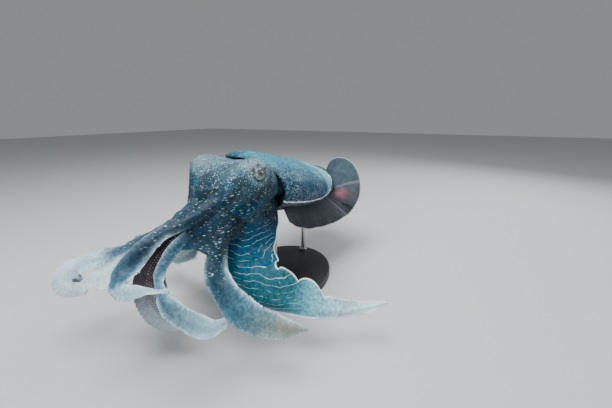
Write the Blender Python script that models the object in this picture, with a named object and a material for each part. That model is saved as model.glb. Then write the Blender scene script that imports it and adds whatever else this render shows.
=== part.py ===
"""Giant Australian cuttlefish, a life-size still model of a male in display, on a plain stand.

Metres, +Z up. The head looks towards -Y, the animal's left is +X, and the origin is the middle of
the stand's underside. The mantle leans its left side down, the arms hang forward and spread.
"""

import math
from dataclasses import dataclass

import bmesh
import bpy
import numpy as np

GAP = 0.0003  # left between meshes that touch
SHARP_ANGLE = math.radians(40.0)

# Mantle, the body behind the head, without its fins
MANTLE_LENGTH = 0.34
MANTLE_HALF_WIDTH = 0.084
MANTLE_HEIGHT_UP = 0.053
MANTLE_HEIGHT_DOWN = 0.048
MANTLE_FRONT = np.array([0.0, -0.060, 0.234])
MANTLE_PITCH = math.radians(10.5)
MANTLE_DROOP = 0.008
MANTLE_ROLL = math.radians(20.0)
MANTLE_SIDES = 22
MANTLE_STATIONS = 15
MANTLE_TAIL = 0.995  # share of the length where the blunt tail is closed
MANTLE_STEP_POWER = 1.6  # crowds the rings towards the tail
MANTLE_FRONT_WIDTH = 0.90
MANTLE_WIDEST = 0.35
WIDTH_TAIL_POWER = 3.6  # how late the sides, the back and the belly run in to the tail
BACK_TAIL_POWER = 8.0
BELLY_TAIL_POWER = 4.0
TAIL_ROUNDNESS = 0.55
BACK_TAPER = 0.22
BELLY_TAPER = 0.25
BODY_POWER = 2.2  # of the rounded box round the mantle and neck; 2 is an ellipse
HEAD_POWER = 2.15
COLLAR_LOBE = 0.028
COLLAR_POINT = 0.024  # further reach of the collar over the middle of the head
COLLAR_POINT_ANGLE = math.radians(118.0)
COLLAR_POINT_SPREAD = math.radians(34.0)
COLLAR_WALL = 0.006
COLLAR_DEPTH = 0.030
COLLAR_LOBE_POWER = 1.1
# Depth of the collar's rim in walls, from outside to inside, and how far the throat is drawn in
COLLAR_CREST = 0.3
COLLAR_INSIDE = 0.2
COLLAR_ROUND = 0.45
COLLAR_THROAT = 1.6

# Fins, the skirt along each side of the mantle
FIN_ROOT_THICKNESS = 0.0045
FIN_EDGE_THICKNESS = 0.0016
FIN_LINE = math.radians(-14.0)
FIN_SUNK = 0.010
# Share along the mantle, tilt up from the body's side and bend across the fin in degrees, and reach
FIN_SHAPES = {
    "left": ((0.00, -38, 0, 0.030), (0.15, -46, 8, 0.045), (0.35, -44, 10, 0.052), (0.55, -26, 6, 0.060),
             (0.70, -2, -6, 0.070), (0.82, 28, -20, 0.077), (0.92, 72, -42, 0.087), (1.00, 110, -50, 0.062)),
    "right": ((0.00, -30, 0, 0.030), (0.15, -20, 0, 0.045), (0.35, 10, -10, 0.050), (0.50, -22, 0, 0.054),
              (0.65, 14, -10, 0.058), (0.80, -15, 0, 0.062), (0.92, 16, -20, 0.062), (1.00, 52, -30, 0.042)),
}
FIN_LENGTHS = ("front", "middle", "rear")
FIN_PARTINGS = (0.02, 0.42, 0.76, 0.992)
FIN_STATIONS = 12
FIN_ROWS = 4

# Head and neck
NECK_HALF_WIDTH = 0.052
NECK_HALF_HEIGHT = 0.034
NECK_INSET = 0.002
NECK_SIDES = 16
HEAD_SIDES = 24
HEAD_PATH = ((0, -0.074, 0.240), (0, -0.100, 0.242), (0, -0.128, 0.236), (0, -0.155, 0.218),
             (0, -0.172, 0.200))
HEAD_HALF_WIDTH = (0.054, 0.065, 0.066, 0.064, 0.053)
HEAD_HALF_HEIGHT = (0.034, 0.039, 0.041, 0.042, 0.034)
HEAD_STATIONS = 12
BULGE_HEIGHT = 0.028
BULGE_ANGLE = math.radians(47.0)
BULGE_SPREAD = math.radians(25.5)
BULGE_PLACE = 0.46
BULGE_REACH = 0.24
EYE_RADIUS = 0.0095
EYE_CENTRE = np.array([0.0667, -0.1458, 0.2678])
EYE_LOOK = np.array([0.86, -0.36, 0.36])
LID_RADIUS = 0.0026
LID_RING = 0.0072
LID_LIFT = 0.0066
LID_STATIONS = 6
LID_OPENING = 0.85  # height of the opening for its width
LID_END = 0.55  # thickness of a fold's ends for its middle
# Where each fold starts and ends round the opening in degrees, and its share of the thickness
LIDS = {"lid_upper": (15, 165, 1.0), "lid_lower": (205, 335, 0.75)}
PAPILLA_RING = 0.0130
PAPILLA_ROOT = 0.0030
PAPILLA_HEIGHT = 0.0060
PAPILLA_RADIUS = 0.0036
PAPILLA_LEAN = 0.9
PAPILLA_TAPER = (1.0, 0.8, 0.3)
PAPILLA_PLACES = np.radians((-48.0, 0.0, 48.0))
MOUTH_RADIUS = 0.019
MOUTH_DEPTH = 0.016
MOUTH_SIDES = 20
MOUTH_LOBES = 7
MOUTH_LOBE_HEIGHT = 0.10
MOUTH_RINGS = ((0.02, 0.72, 1), (0.35, 1.0, 1), (0.75, 0.86, 1), (1.0, 0.5, 1), (0.72, 0.22, 0))
FUNNEL_START = np.array([0.0, -0.070, 0.196])
FUNNEL_END = np.array([0.0, -0.140, 0.160])
FUNNEL_ROOT_RADIUS = 0.021
FUNNEL_TIP_RADIUS = 0.012
FUNNEL_WALL = 0.003
FUNNEL_BORE = 0.022
FUNNEL_SIDES = 16
FUNNEL_FLATNESS = 1.25
FUNNEL_STEPS = (0.0, 0.35, 0.7, 1.0)

# Arms
ARM_LENGTHS = ("root", "middle", "tip")
ARM_PARTINGS = (0.42, 0.61, 0.80, 1.0)
ARM_STATIONS = 7
STUB_STATIONS = 8
SKIN_EDGE = 0.0016
CORE_TAPER = 0.62
HEIGHT_TAPER = 0.80
INNER_SHARE = 0.62
SHOULDER = 0.75  # of the core's half width, where the arm's back and face have dropped a little
BACK_SHOULDER = 0.62
FACE_SHOULDER = 0.70
CORE_SHARE = 0.8  # widest core for the narrower half width
RIPPLE_START = 0.35
ARM_END = 0.995
TIP_STEP_POWER = 1.4
SUCKERS_PER_ARM = 17
SUCKER_SIDES = 5
SUCKER_RADIUS = 0.0040
SUCKER_STEP_POWER = 0.92
SUCKER_ROW = 0.42  # of the core's half width, the place of each of the two rows
SUCKER_SINK = 0.8
SUCKER_FOOT = -0.6
SUCKER_RIM = 0.9
SUCKER_CUP = 0.4
SUCKER_STALK = 0.7
SUCKER_LAST = 0.965
SUCKER_CLEAR = 0.022  # share of an arm left bare on both sides of a parting

# Webs of skin between the feet of neighbouring arms, part of the head's node: the two arms, and the
# share of each at which the web ends
WEBS = (
    ("arm_left_1", 0.40, "arm_left_2", 0.34),
    ("arm_left_2", 0.41, "arm_left_3", 0.37),
    ("arm_left_3", 0.30, "arm_left_4", 0.38),
    ("arm_left_1", 0.34, "arm_right_1", 0.36),
    ("arm_right_1", 0.34, "arm_right_2", 0.30),
    ("arm_right_2", 0.30, "arm_right_3", 0.32),
    ("arm_right_3", 0.32, "arm_right_4", 0.34),
)
WEB_STATIONS = 6
WEB_SIDES = 10
WEB_HOLLOW = 0.12
WEB_LIFT = 0.0030
WEB_THICKNESS = 0.0050
WEB_EDGE_POWER = 10
WEB_THINNING = 0.45
WEB_SETTLING = 0.3

# Stand
BASE_HALF_WIDTH = 0.115
BASE_HALF_LENGTH = 0.150
BASE_HEIGHT = 0.012
BASE_BEVEL = 0.003
BASE_SIDES = 48
ROD_RADIUS = 0.005
ROD_SIDES = 16
ROD_TOP = 0.22
ROD_PLACES = {"stand_rod_front": -0.005, "stand_rod_rear": 0.130}


@dataclass(frozen=True)
class Arm:
    """One arm: the points it passes, where its outer face looks there, and its half widths.

    The widths are rows of a share of the length, the half width to the left and that to the right.
    """

    name: str
    path: tuple
    faces: tuple
    widths: tuple
    core: float = 0.0105
    height: float = 0.0085
    ripple: float = 0.0030
    waves: float = 5.0
    phase: float = 0.0


ARMS = (
    Arm("arm_left_1",
        ((0.020, -0.165, 0.230), (0.018, -0.200, 0.224), (0.012, -0.240, 0.213), (-0.001, -0.291, 0.199),
         (-0.009, -0.332, 0.171), (0.009, -0.346, 0.160), (0.036, -0.339, 0.164), (0.067, -0.324, 0.164)),
        ((0.5, -0.5, 0.7), (0.7, -0.4, 0.6), (0.8, -0.4, 0.5), (0.7, -0.5, 0.5), (0.4, -0.8, 0.4),
         (0.0, -0.8, 0.6), (-0.1, -0.6, 0.8), (-0.1, -0.5, 0.8)),
        ((0, 0.012, 0.013), (0.25, 0.01, 0.012), (0.45, 0.009, 0.011), (0.6, 0.018, 0.01),
         (0.7, 0.022, 0.012), (0.8, 0.009, 0.01), (0.9, 0.005, 0.007), (1, 0.002, 0.002)),
        phase=0.6),
    Arm("arm_left_2",
        ((0.034, -0.157, 0.219), (0.030, -0.188, 0.210), (0.014, -0.222, 0.194), (0.000, -0.258, 0.175),
         (0.002, -0.289, 0.150), (0.026, -0.305, 0.130), (0.066, -0.306, 0.113), (0.098, -0.297, 0.106),
         (0.116, -0.290, 0.118)),
        ((0.8, -0.4, 0.6), (0.7, -0.4, 0.6), (0.6, -0.5, 0.6), (0.8, -0.5, 0.3), (0.7, -0.7, 0.0),
         (0.3, -0.8, 0.4), (0.1, -0.8, 0.5), (0.0, -0.8, 0.5), (-0.4, -0.8, 0.3)),
        ((0, 0.011, 0.011), (0.25, 0.01, 0.011), (0.42, 0.008, 0.01), (0.6, 0.008, 0.008),
         (0.74, 0.014, 0.015), (0.9, 0.012, 0.013), (1, 0.004, 0.004)),
        phase=1.9),
    Arm("arm_left_3",
        ((0.036, -0.146, 0.210), (0.040, -0.182, 0.197), (0.042, -0.213, 0.173), (0.050, -0.235, 0.146),
         (0.078, -0.246, 0.118), (0.110, -0.246, 0.098), (0.144, -0.232, 0.082), (0.184, -0.206, 0.070)),
        ((0.8, -0.4, 0.4), (0.8, -0.4, 0.3), (0.8, -0.6, 0.1), (0.7, -0.7, 0.1), (0.4, -0.8, 0.3),
         (0.2, -0.8, 0.4), (0.1, -0.8, 0.5), (0.1, -0.8, 0.5)),
        ((0, 0.013, 0.013), (0.2, 0.013, 0.014), (0.36, 0.014, 0.015), (0.5, 0.018, 0.02),
         (0.65, 0.021, 0.026), (0.85, 0.015, 0.019), (1, 0.002, 0.003)),
        core=0.0125, height=0.0095, phase=3.1),
    Arm("arm_left_4",
        ((0.046, -0.100, 0.232), (0.041, -0.120, 0.208), (0.045, -0.146, 0.182), (0.048, -0.174, 0.150),
         (0.064, -0.194, 0.120), (0.096, -0.198, 0.092), (0.142, -0.178, 0.076), (0.188, -0.150, 0.066),
         (0.232, -0.116, 0.062), (0.268, -0.086, 0.066)),
        ((0.9, -0.3, -0.2), (0.8, -0.6, -0.2), (0.8, -0.6, -0.1), (0.8, -0.7, 0.1), (0.7, -0.7, 0.2),
         (0.5, -0.8, 0.4), (0.4, -0.8, 0.5), (0.4, -0.8, 0.5), (0.4, -0.8, 0.5), (0.3, -0.8, 0.5)),
        ((0, 0.041, 0.016), (0.08, 0.055, 0.02), (0.17, 0.06, 0.023), (0.26, 0.06, 0.024),
         (0.35, 0.06, 0.022), (0.45, 0.05, 0.016), (0.54, 0.055, 0.014), (0.62, 0.048, 0.013),
         (0.68, 0.044, 0.013), (0.75, 0.025, 0.012), (0.86, 0.014, 0.01), (1, 0.002, 0.003)),
        core=0.0115, height=0.008, ripple=0.004, waves=4, phase=0.2),
    Arm("arm_right_1",
        ((-0.020, -0.165, 0.228), (-0.024, -0.200, 0.218), (-0.036, -0.236, 0.195),
         (-0.054, -0.272, 0.167), (-0.073, -0.307, 0.143), (-0.097, -0.338, 0.137)),
        ((-0.2, -0.6, 0.8), (-0.1, -0.5, 0.8), (0.0, -0.5, 0.8), (0.1, -0.5, 0.8), (0.2, -0.5, 0.8),
         (0.3, -0.5, 0.8)),
        ((0, 0.012, 0.012), (0.3, 0.012, 0.011), (0.5, 0.014, 0.01), (0.65, 0.021, 0.014),
         (0.85, 0.022, 0.015), (0.94, 0.014, 0.01), (1, 0.003, 0.002)),
        phase=2.4),
    Arm("arm_right_2",
        ((-0.042, -0.155, 0.214), (-0.056, -0.186, 0.196), (-0.084, -0.218, 0.174),
         (-0.119, -0.255, 0.150), (-0.146, -0.282, 0.138), (-0.178, -0.310, 0.123),
         (-0.177, -0.323, 0.107), (-0.138, -0.316, 0.097)),
        ((-0.7, -0.4, 0.6), (-0.4, -0.4, 0.7), (-0.1, -0.4, 0.9), (0.1, -0.5, 0.9), (0.2, -0.5, 0.8),
         (0.4, -0.5, 0.7), (0.8, -0.5, 0.3), (0.8, -0.6, 0.1)),
        ((0, 0.011, 0.011), (0.4, 0.013, 0.014), (0.6, 0.016, 0.016), (0.78, 0.02, 0.019),
         (0.9, 0.014, 0.015), (1, 0.003, 0.003)),
        phase=4),
    Arm("arm_right_3",
        ((-0.048, -0.144, 0.196), (-0.062, -0.172, 0.176), (-0.080, -0.206, 0.148),
         (-0.084, -0.240, 0.118), (-0.064, -0.264, 0.088), (-0.028, -0.272, 0.064),
         (0.014, -0.258, 0.050)),
        ((-0.9, -0.3, 0.1), (-0.9, -0.2, 0.1), (-0.9, -0.1, 0.2), (-0.9, 0.3, 0.1), (-0.7, 0.5, -0.3),
         (-0.4, 0.6, -0.6), (-0.2, 0.6, -0.7)),
        ((0, 0.013, 0.013), (0.3, 0.014, 0.015), (0.45, 0.021, 0.022), (0.7, 0.025, 0.025),
         (0.9, 0.015, 0.016), (1, 0.003, 0.003)),
        core=0.0125, height=0.009, phase=5.2),
    Arm("arm_right_4",
        ((-0.045, -0.102, 0.226), (-0.039, -0.126, 0.194), (-0.048, -0.142, 0.166),
         (-0.062, -0.150, 0.138), (-0.084, -0.154, 0.108), (-0.124, -0.148, 0.082),
         (-0.176, -0.132, 0.066), (-0.228, -0.110, 0.060), (-0.268, -0.088, 0.066)),
        ((-0.9, -0.3, -0.2), (-0.8, -0.6, -0.2), (-0.9, -0.5, 0.0), (-0.8, -0.6, 0.1), (-0.7, -0.7, 0.2),
         (-0.4, -0.8, 0.5), (-0.4, -0.8, 0.5), (-0.4, -0.8, 0.5), (-0.3, -0.8, 0.5)),
        ((0, 0.014, 0.032), (0.08, 0.018, 0.043), (0.2, 0.018, 0.052), (0.35, 0.016, 0.054),
         (0.48, 0.014, 0.044), (0.6, 0.013, 0.036), (0.67, 0.012, 0.03), (0.75, 0.012, 0.019),
         (0.86, 0.01, 0.012), (1, 0.003, 0.002)),
        core=0.0115, height=0.008, ripple=0.004, waves=4, phase=1.3),
)

SKIN_COLOUR = (0.10, 0.14, 0.19)
ARM_COLOUR = (0.22, 0.33, 0.40)
TIP_COLOUR = (0.62, 0.70, 0.72)
FIN_COLOUR = (0.42, 0.40, 0.44)
EYE_COLOUR = (0.45, 0.36, 0.28)
MOUTH_COLOUR = (0.48, 0.40, 0.38)
BASE_COLOUR = (0.05, 0.05, 0.055)
ROD_COLOUR = (0.55, 0.56, 0.58)


def clear_scene():
    """Removes what the startup scene holds."""
    for thing in list(bpy.data.objects):
        bpy.data.objects.remove(thing)


def material(name, colour, roughness, metallic=0.0):
    """A plain Principled finish."""
    made = bpy.data.materials.new(name)
    made.use_nodes = True
    shader = made.node_tree.nodes["Principled BSDF"]
    shader.inputs["Base Color"].default_value = (*colour, 1.0)
    shader.inputs["Roughness"].default_value = roughness
    shader.inputs["Metallic"].default_value = metallic
    return made


def unit(rows):
    """Each row at length one."""
    return rows / np.linalg.norm(rows, axis=-1, keepdims=True)


def ease(x):
    """0 below 0, 1 above 1, and a smooth step between."""
    x = np.clip(x, 0.0, 1.0)
    return x * x * (3 - 2 * x)


def smooth_through(knots, rows, at):
    """A cubic that passes each row at its knot, read at the places in `at`."""
    knots = np.asarray(knots, float)
    rows = np.asarray(rows, float)
    slopes = np.gradient(rows, knots, axis=0)
    index = np.clip(np.searchsorted(knots, at, side="right") - 1, 0, len(knots) - 2)
    span = (knots[index + 1] - knots[index])[:, None]
    f = (at - knots[index])[:, None] / span
    return (rows[index] * (1 + 2 * f) * (1 - f) ** 2 + slopes[index] * span * f * (1 - f) ** 2
            + rows[index + 1] * f ** 2 * (3 - 2 * f) + slopes[index + 1] * span * f ** 2 * (f - 1))


def along_path(points, extras, t):
    """The path's point and the extras at shares t of its length, with the path's direction there."""
    points = np.asarray(points, float)
    chords = np.concatenate([[0.0], np.cumsum(np.linalg.norm(np.diff(points, axis=0), axis=1))])
    dense_at = np.linspace(0.0, chords[-1], 600)
    dense = smooth_through(chords, np.hstack([points, np.asarray(extras, float)]), dense_at)
    run = np.concatenate([[0.0], np.cumsum(np.linalg.norm(np.diff(dense[:, :3], axis=0), axis=1))])
    rows = np.hstack([dense, unit(np.gradient(dense[:, :3], run, axis=0))])
    t = np.atleast_1d(t)
    read = np.stack([np.interp(t * run[-1], run, column) for column in rows.T], axis=1)
    return read[:, :3], read[:, 3:-3], unit(read[:, -3:]), run[-1]


def solid(name, rings, finish):
    """A closed mesh through rings of equal point count, whose first half is one face and second half
    the opposite face, so that both faces of a thin sheet are split into triangles alike."""
    rings = np.asarray(rings, float)
    stations, count = rings.shape[:2]
    faces = []
    for i in range(stations - 1):
        for j in range(count):
            k = (j + 1) % count
            a, b, c, d = i * count + j, i * count + k, (i + 1) * count + k, (i + 1) * count + j
            faces += [(a, b, c), (a, c, d)] if j < count // 2 else [(a, b, d), (b, c, d)]
    for start, turned in ((0, True), ((stations - 1) * count, False)):
        for j in range(count // 2 - 1):
            a, b, c, d = start + j, start + j + 1, start + count - 2 - j, start + count - 1 - j
            pair = [(a, b, c), (a, c, d)]
            faces += [face[::-1] for face in pair] if turned else pair
    points = rings.reshape(-1, 3)
    corners = points[np.array(faces)]
    volume = np.einsum("ij,ij->i", corners[:, 0], np.cross(corners[:, 1], corners[:, 2])).sum()
    if volume < 0:
        faces = [face[::-1] for face in faces]
    mesh = bpy.data.meshes.new(name)
    mesh.from_pydata(points.tolist(), [], faces)
    mesh.shade_smooth()
    mesh.set_sharp_from_angle(angle=SHARP_ANGLE)
    mesh.materials.append(finish)
    made = bpy.data.objects.new(name, mesh)
    bpy.context.collection.objects.link(made)
    return made


def largest_shell(mesh):
    """Keeps the mesh's largest closed surface, and drops scraps and sealed hollows."""
    work = bmesh.new()
    work.from_mesh(mesh)
    left = set(work.verts)
    best = []
    while left:
        start = left.pop()
        shell, edge = [start], [start]
        while edge:
            vert = edge.pop()
            for other in (e.other_vert(vert) for e in vert.link_edges):
                if other in left:
                    left.discard(other)
                    shell.append(other)
                    edge.append(other)
        if len(shell) > len(best):
            best = shell
    keep = set(best)
    bmesh.ops.delete(work, geom=[v for v in work.verts if v not in keep], context="VERTS")
    bmesh.ops.triangulate(work, faces=work.faces[:])
    work.to_mesh(mesh)
    work.free()


def boolean(target, operation, pieces):
    """Joins the pieces to the target or cuts them from it, applies it, and removes the pieces."""
    group = bpy.data.collections.new(target.name + "_pieces")
    bpy.context.scene.collection.children.link(group)
    for piece in pieces:
        for owner in list(piece.users_collection):
            owner.objects.unlink(piece)
        group.objects.link(piece)
    step = target.modifiers.new(operation.lower(), "BOOLEAN")
    step.operation = operation
    step.operand_type = "COLLECTION"
    step.collection = group
    step.solver = "MANIFOLD"
    bpy.context.view_layer.update()
    graph = bpy.context.evaluated_depsgraph_get()
    made = bpy.data.meshes.new_from_object(target.evaluated_get(graph))
    target.modifiers.remove(step)
    target.data = made
    largest_shell(made)
    for piece in pieces:
        bpy.data.objects.remove(piece)
    bpy.data.collections.remove(group)
    return target


def fuse(target, pieces):
    """Joins the pieces to the target as one closed body."""
    return boolean(target, "UNION", pieces) if pieces else target


def cut(target, pieces):
    """Cuts the pieces from the target."""
    return boolean(target, "DIFFERENCE", pieces)


def mantle_frame(t):
    """The mantle's middle line at share t of its length from the front, with its left, up and back."""
    t = np.atleast_1d(np.asarray(t, float))
    back = np.array([0.0, math.cos(MANTLE_PITCH), -math.sin(MANTLE_PITCH)])
    up = np.array([0.0, math.sin(MANTLE_PITCH), math.cos(MANTLE_PITCH)])
    left = np.array([1.0, 0.0, 0.0])
    centre = MANTLE_FRONT + MANTLE_LENGTH * t[:, None] * back - MANTLE_DROOP * t[:, None] ** 2 * up
    side = math.cos(MANTLE_ROLL) * left - math.sin(MANTLE_ROLL) * up
    rise = math.sin(MANTLE_ROLL) * left + math.cos(MANTLE_ROLL) * up
    return centre, side, rise, back


def mantle_sizes(t):
    """Half width, height above and height below the middle line at share t."""
    t = np.clip(np.atleast_1d(np.asarray(t, float)), 0.0, 1.0)
    swell = np.sin(0.5 * np.pi * np.clip(t / MANTLE_WIDEST, 0, 2))
    width = MANTLE_HALF_WIDTH * (MANTLE_FRONT_WIDTH + (1 - MANTLE_FRONT_WIDTH) * swell)
    width = width * (1 - t ** WIDTH_TAIL_POWER) ** TAIL_ROUNDNESS
    up = MANTLE_HEIGHT_UP * (1 - BACK_TAPER * t) * (1 - t ** BACK_TAIL_POWER) ** TAIL_ROUNDNESS
    down = MANTLE_HEIGHT_DOWN * (1 - BELLY_TAPER * t) * (1 - t ** BELLY_TAIL_POWER) ** TAIL_ROUNDNESS
    return width, up, down


def rounded(angle, power):
    """A point of a rounded box of half sizes one, at an angle."""
    c, s = np.cos(angle), np.sin(angle)
    return np.sign(c) * np.abs(c) ** (2 / power), np.sign(s) * np.abs(s) ** (2 / power)


def ring_angles(count):
    """Angles round a ring whose first half is the upper face, from right to left."""
    return np.pi - (np.arange(count) + 0.5) * 2 * np.pi / count


def mantle_ring(t, grow=0.0, scale=1.0, forward=None):
    """One ring round the mantle; forward moves each point towards the head."""
    centre, side, rise, back = mantle_frame(t)
    width, up, down = (float(size[0]) * scale + grow for size in mantle_sizes(t))
    angle = ring_angles(MANTLE_SIDES)
    across, above = rounded(angle, BODY_POWER)
    high = np.where(above > 0, up, down) * above
    ring = centre + np.outer(across * width, side) + np.outer(high, rise)
    if forward is not None:
        ring = ring - forward[:, None] * back
    return ring


def mantle_body(name, finish, grow=0.0, hollow=True):
    """The mantle from its tail to its collar, with the shallow mouth of the mantle behind the head."""
    shares = MANTLE_TAIL * (1 - np.linspace(0.0, 1.0, MANTLE_STATIONS + 1) ** MANTLE_STEP_POWER)
    rings = [mantle_ring(share, grow) for share in shares[:-1]]
    rings[0] = rings[0] + grow * mantle_frame(0.0)[3]
    angle = ring_angles(MANTLE_SIDES)
    lobe = COLLAR_LOBE * np.clip(np.sin(angle), 0, 1) ** COLLAR_LOBE_POWER
    lobe = lobe + COLLAR_POINT * np.exp(-((angle - COLLAR_POINT_ANGLE) / COLLAR_POINT_SPREAD) ** 2)
    lip = COLLAR_WALL / MANTLE_HALF_WIDTH
    crest = lobe + COLLAR_CREST * COLLAR_WALL
    rings.append(mantle_ring(0.0, grow, forward=crest + grow if grow else lobe))
    if hollow:
        rings.append(mantle_ring(0.0, scale=1 - COLLAR_ROUND * lip, forward=crest))
        rings.append(mantle_ring(0.0, scale=1 - lip, forward=lobe - COLLAR_INSIDE * COLLAR_WALL))
        floor = np.full(MANTLE_SIDES, -COLLAR_DEPTH)
        rings.append(mantle_ring(0.0, scale=1 - COLLAR_THROAT * lip, forward=floor))
    return solid(name, rings, finish)


def fin_outline(t, side_sign):
    """The fin's root line on the mantle, and the direction straight out from it, at share t."""
    step = 1e-4
    points = []
    for share in (t - step, t, np.minimum(t + step, 1.0)):
        centre, side, rise, _ = mantle_frame(share)
        width, _, down = mantle_sizes(share)
        across, above = rounded(np.array([FIN_LINE]), BODY_POWER)
        aside = side_sign * side * (width * across)[:, None]
        points.append(centre + aside + rise * (down * above)[:, None])
    _, _, rise, _ = mantle_frame(t)
    line = unit(points[2] - points[0])
    out = unit(np.cross(line, rise) * side_sign)
    return points[1], out, np.broadcast_to(rise, out.shape)


def fin_sheet(t, v, side):
    """Middle surface of a fin: share t along the mantle, share v from root to edge."""
    root, out, rise = fin_outline(t, 1 if side == "left" else -1)
    knots = np.array(FIN_SHAPES[side])
    tilt, bend, reach = smooth_through(knots[:, 0], knots[:, 1:], t).T
    slope = np.radians(tilt[:, None] + np.outer(bend, v - 0.5))
    step = np.concatenate([[0.0], np.diff(v)]) * (reach + FIN_SUNK)[:, None]
    flat = np.cumsum(np.cos(slope) * step, axis=1)
    high = np.cumsum(np.sin(slope) * step, axis=1)
    sunk = root - out * FIN_SUNK
    return sunk[:, None] + flat[..., None] * out[:, None] + high[..., None] * rise[:, None]


def fin_length(name, side, start, end, finish):
    """One length of a fin, a thin sheet with its root sunk in the mantle's place."""
    t = np.linspace(start, end, FIN_STATIONS)
    v = np.linspace(0.0, 1.0, FIN_ROWS)
    middle = fin_sheet(t, v, side)
    normal = unit(np.cross(np.gradient(middle, axis=0), np.gradient(middle, axis=1)))
    half = 0.5 * (FIN_ROOT_THICKNESS + (FIN_EDGE_THICKNESS - FIN_ROOT_THICKNESS) * v)[None, :, None]
    rings = np.concatenate([middle + normal * half, (middle - normal * half)[:, ::-1]], axis=1)
    return solid(name, rings, finish)


def head_frame(s):
    """The head's middle line at share s, with its up direction and sizes."""
    rows = np.stack([HEAD_HALF_WIDTH, HEAD_HALF_HEIGHT], axis=1)
    centre, sizes, forward, _ = along_path(HEAD_PATH, rows, s)
    left = np.array([1.0, 0.0, 0.0])
    up = unit(np.cross(forward, left))
    return centre, sizes, forward, up


def head_rings(count_stations, sides, grow=0.0):
    """Rings along the head, raised over both eyes."""
    s = np.linspace(0.0, 1.0, count_stations)
    centre, sizes, _, up = head_frame(s)
    angle = ring_angles(sides)
    across, above = rounded(angle, HEAD_POWER)
    lift = np.zeros((len(s), sides))
    for place in (BULGE_ANGLE, math.pi - BULGE_ANGLE):
        turn = (angle - place + np.pi) % (2 * np.pi) - np.pi
        lift += np.outer(np.exp(-((s - BULGE_PLACE) / BULGE_REACH) ** 2),
                         np.exp(-(turn / BULGE_SPREAD) ** 2))
    lift = BULGE_HEIGHT * lift + grow
    wide = sizes[:, :1] * across + lift * np.cos(angle)
    high = sizes[:, 1:] * above + lift * np.sin(angle)
    return centre[:, None] + wide[..., None] * np.array([1.0, 0.0, 0.0]) + high[..., None] * up[:, None]


def neck(name, finish, grow=0.0):
    """The short neck, from the floor of the mantle's mouth to the head."""
    centre, _, rise, back = mantle_frame(0.0)
    rings = []
    angle = ring_angles(NECK_SIDES)
    across, above = rounded(angle, BODY_POWER)
    plane_up = np.array([0.0, math.sin(MANTLE_PITCH), math.cos(MANTLE_PITCH)])
    start = centre[0] + (COLLAR_DEPTH - GAP) * back
    end, sizes, forward, up = head_frame(0.0)
    end = end[0] - GAP * forward[0]
    for f in (0.0, 0.5, 1.0):
        middle = start + (end - start) * f
        rise_here = unit((1 - f) * plane_up + f * up[0])
        wide = NECK_HALF_WIDTH + (sizes[0, 0] - NECK_INSET - NECK_HALF_WIDTH) * f + grow
        high = NECK_HALF_HEIGHT + (sizes[0, 1] - NECK_INSET - NECK_HALF_HEIGHT) * f + grow
        rings.append(middle + np.outer(across * wide, [1.0, 0.0, 0.0]) + np.outer(above * high, rise_here))
    return solid(name, rings, finish)


def ball(name, centre, radius, finish, rings=8, sides=12):
    """A closed ball of rings about the X axis."""
    turn = np.linspace(0.02, np.pi - 0.02, rings)
    angle = ring_angles(sides)
    points = np.stack([np.outer(np.cos(turn), np.ones(sides)), np.outer(np.sin(turn), np.cos(angle)),
                       np.outer(np.sin(turn), np.sin(angle))], axis=-1)
    return solid(name, centre + points * radius, finish)


def tube(name, centres, radii, finish, sides=6):
    """A closed round tube through the centres, its rings square to it."""
    centres = np.asarray(centres, float)
    ahead = unit(np.gradient(centres, axis=0))
    guide = np.array([0.0, 0.0, 1.0]) if abs(ahead[:, 2]).max() < 0.9 else np.array([0.0, 1.0, 0.0])
    first = unit(np.cross(ahead, guide))
    second = np.cross(ahead, first)
    angle = ring_angles(sides)
    radii = np.asarray(radii, float)[:, None, None]
    rings = centres[:, None] + radii * (np.cos(angle)[None, :, None] * first[:, None]
                                        + np.sin(angle)[None, :, None] * second[:, None])
    return solid(name, rings, finish)


def eye_axes(sign):
    """Where an eye looks, and the up and forward directions of its opening."""
    look = unit(EYE_LOOK * np.array([sign, 1.0, 1.0]))
    ahead = unit(np.cross(look, [0.0, 0.0, 1.0])) * -sign
    return look, np.cross(look, ahead) * sign, ahead


def eye_centre(sign):
    """The middle of an eyeball."""
    return EYE_CENTRE * np.array([sign, 1.0, 1.0])


def lids(sign, finish):
    """The fold of skin over an eye and the smaller one under it, two arcs round the opening."""
    look, up, ahead = eye_axes(sign)
    made = []
    swell = LID_END + (1 - LID_END) * np.sin(np.linspace(0, np.pi, LID_STATIONS))
    for name, (first, last, thick) in LIDS.items():
        turn = np.radians(np.linspace(first, last, LID_STATIONS))[:, None]
        opening = np.cos(turn) * ahead + LID_OPENING * np.sin(turn) * up
        ring = eye_centre(sign) + look * LID_LIFT + LID_RING * opening
        made.append(tube(name, ring, LID_RADIUS * thick * swell, finish))
    return made


def papillae(sign, finish):
    """Three low flaps of skin over an eye."""
    look, up, ahead = eye_axes(sign)
    made = []
    for place in PAPILLA_PLACES:
        aside = up * math.cos(place) + ahead * math.sin(place)
        root = eye_centre(sign) + look * PAPILLA_ROOT + PAPILLA_RING * aside
        out = unit(aside + PAPILLA_LEAN * look) * PAPILLA_HEIGHT
        made.append(tube("papilla", [root, root + 0.5 * out, root + out],
                         PAPILLA_RADIUS * np.array(PAPILLA_TAPER), finish))
    return made


def arm_frame(arm, t):
    """Centre, left, outward and forward directions and sizes of an arm at shares t of its length."""
    centre, faces, ahead, length = along_path(arm.path, arm.faces, t)
    outward = unit(faces - ahead * (faces * ahead).sum(axis=1, keepdims=True))
    left = np.cross(outward, ahead)
    return centre, left, outward, ahead, length


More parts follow.
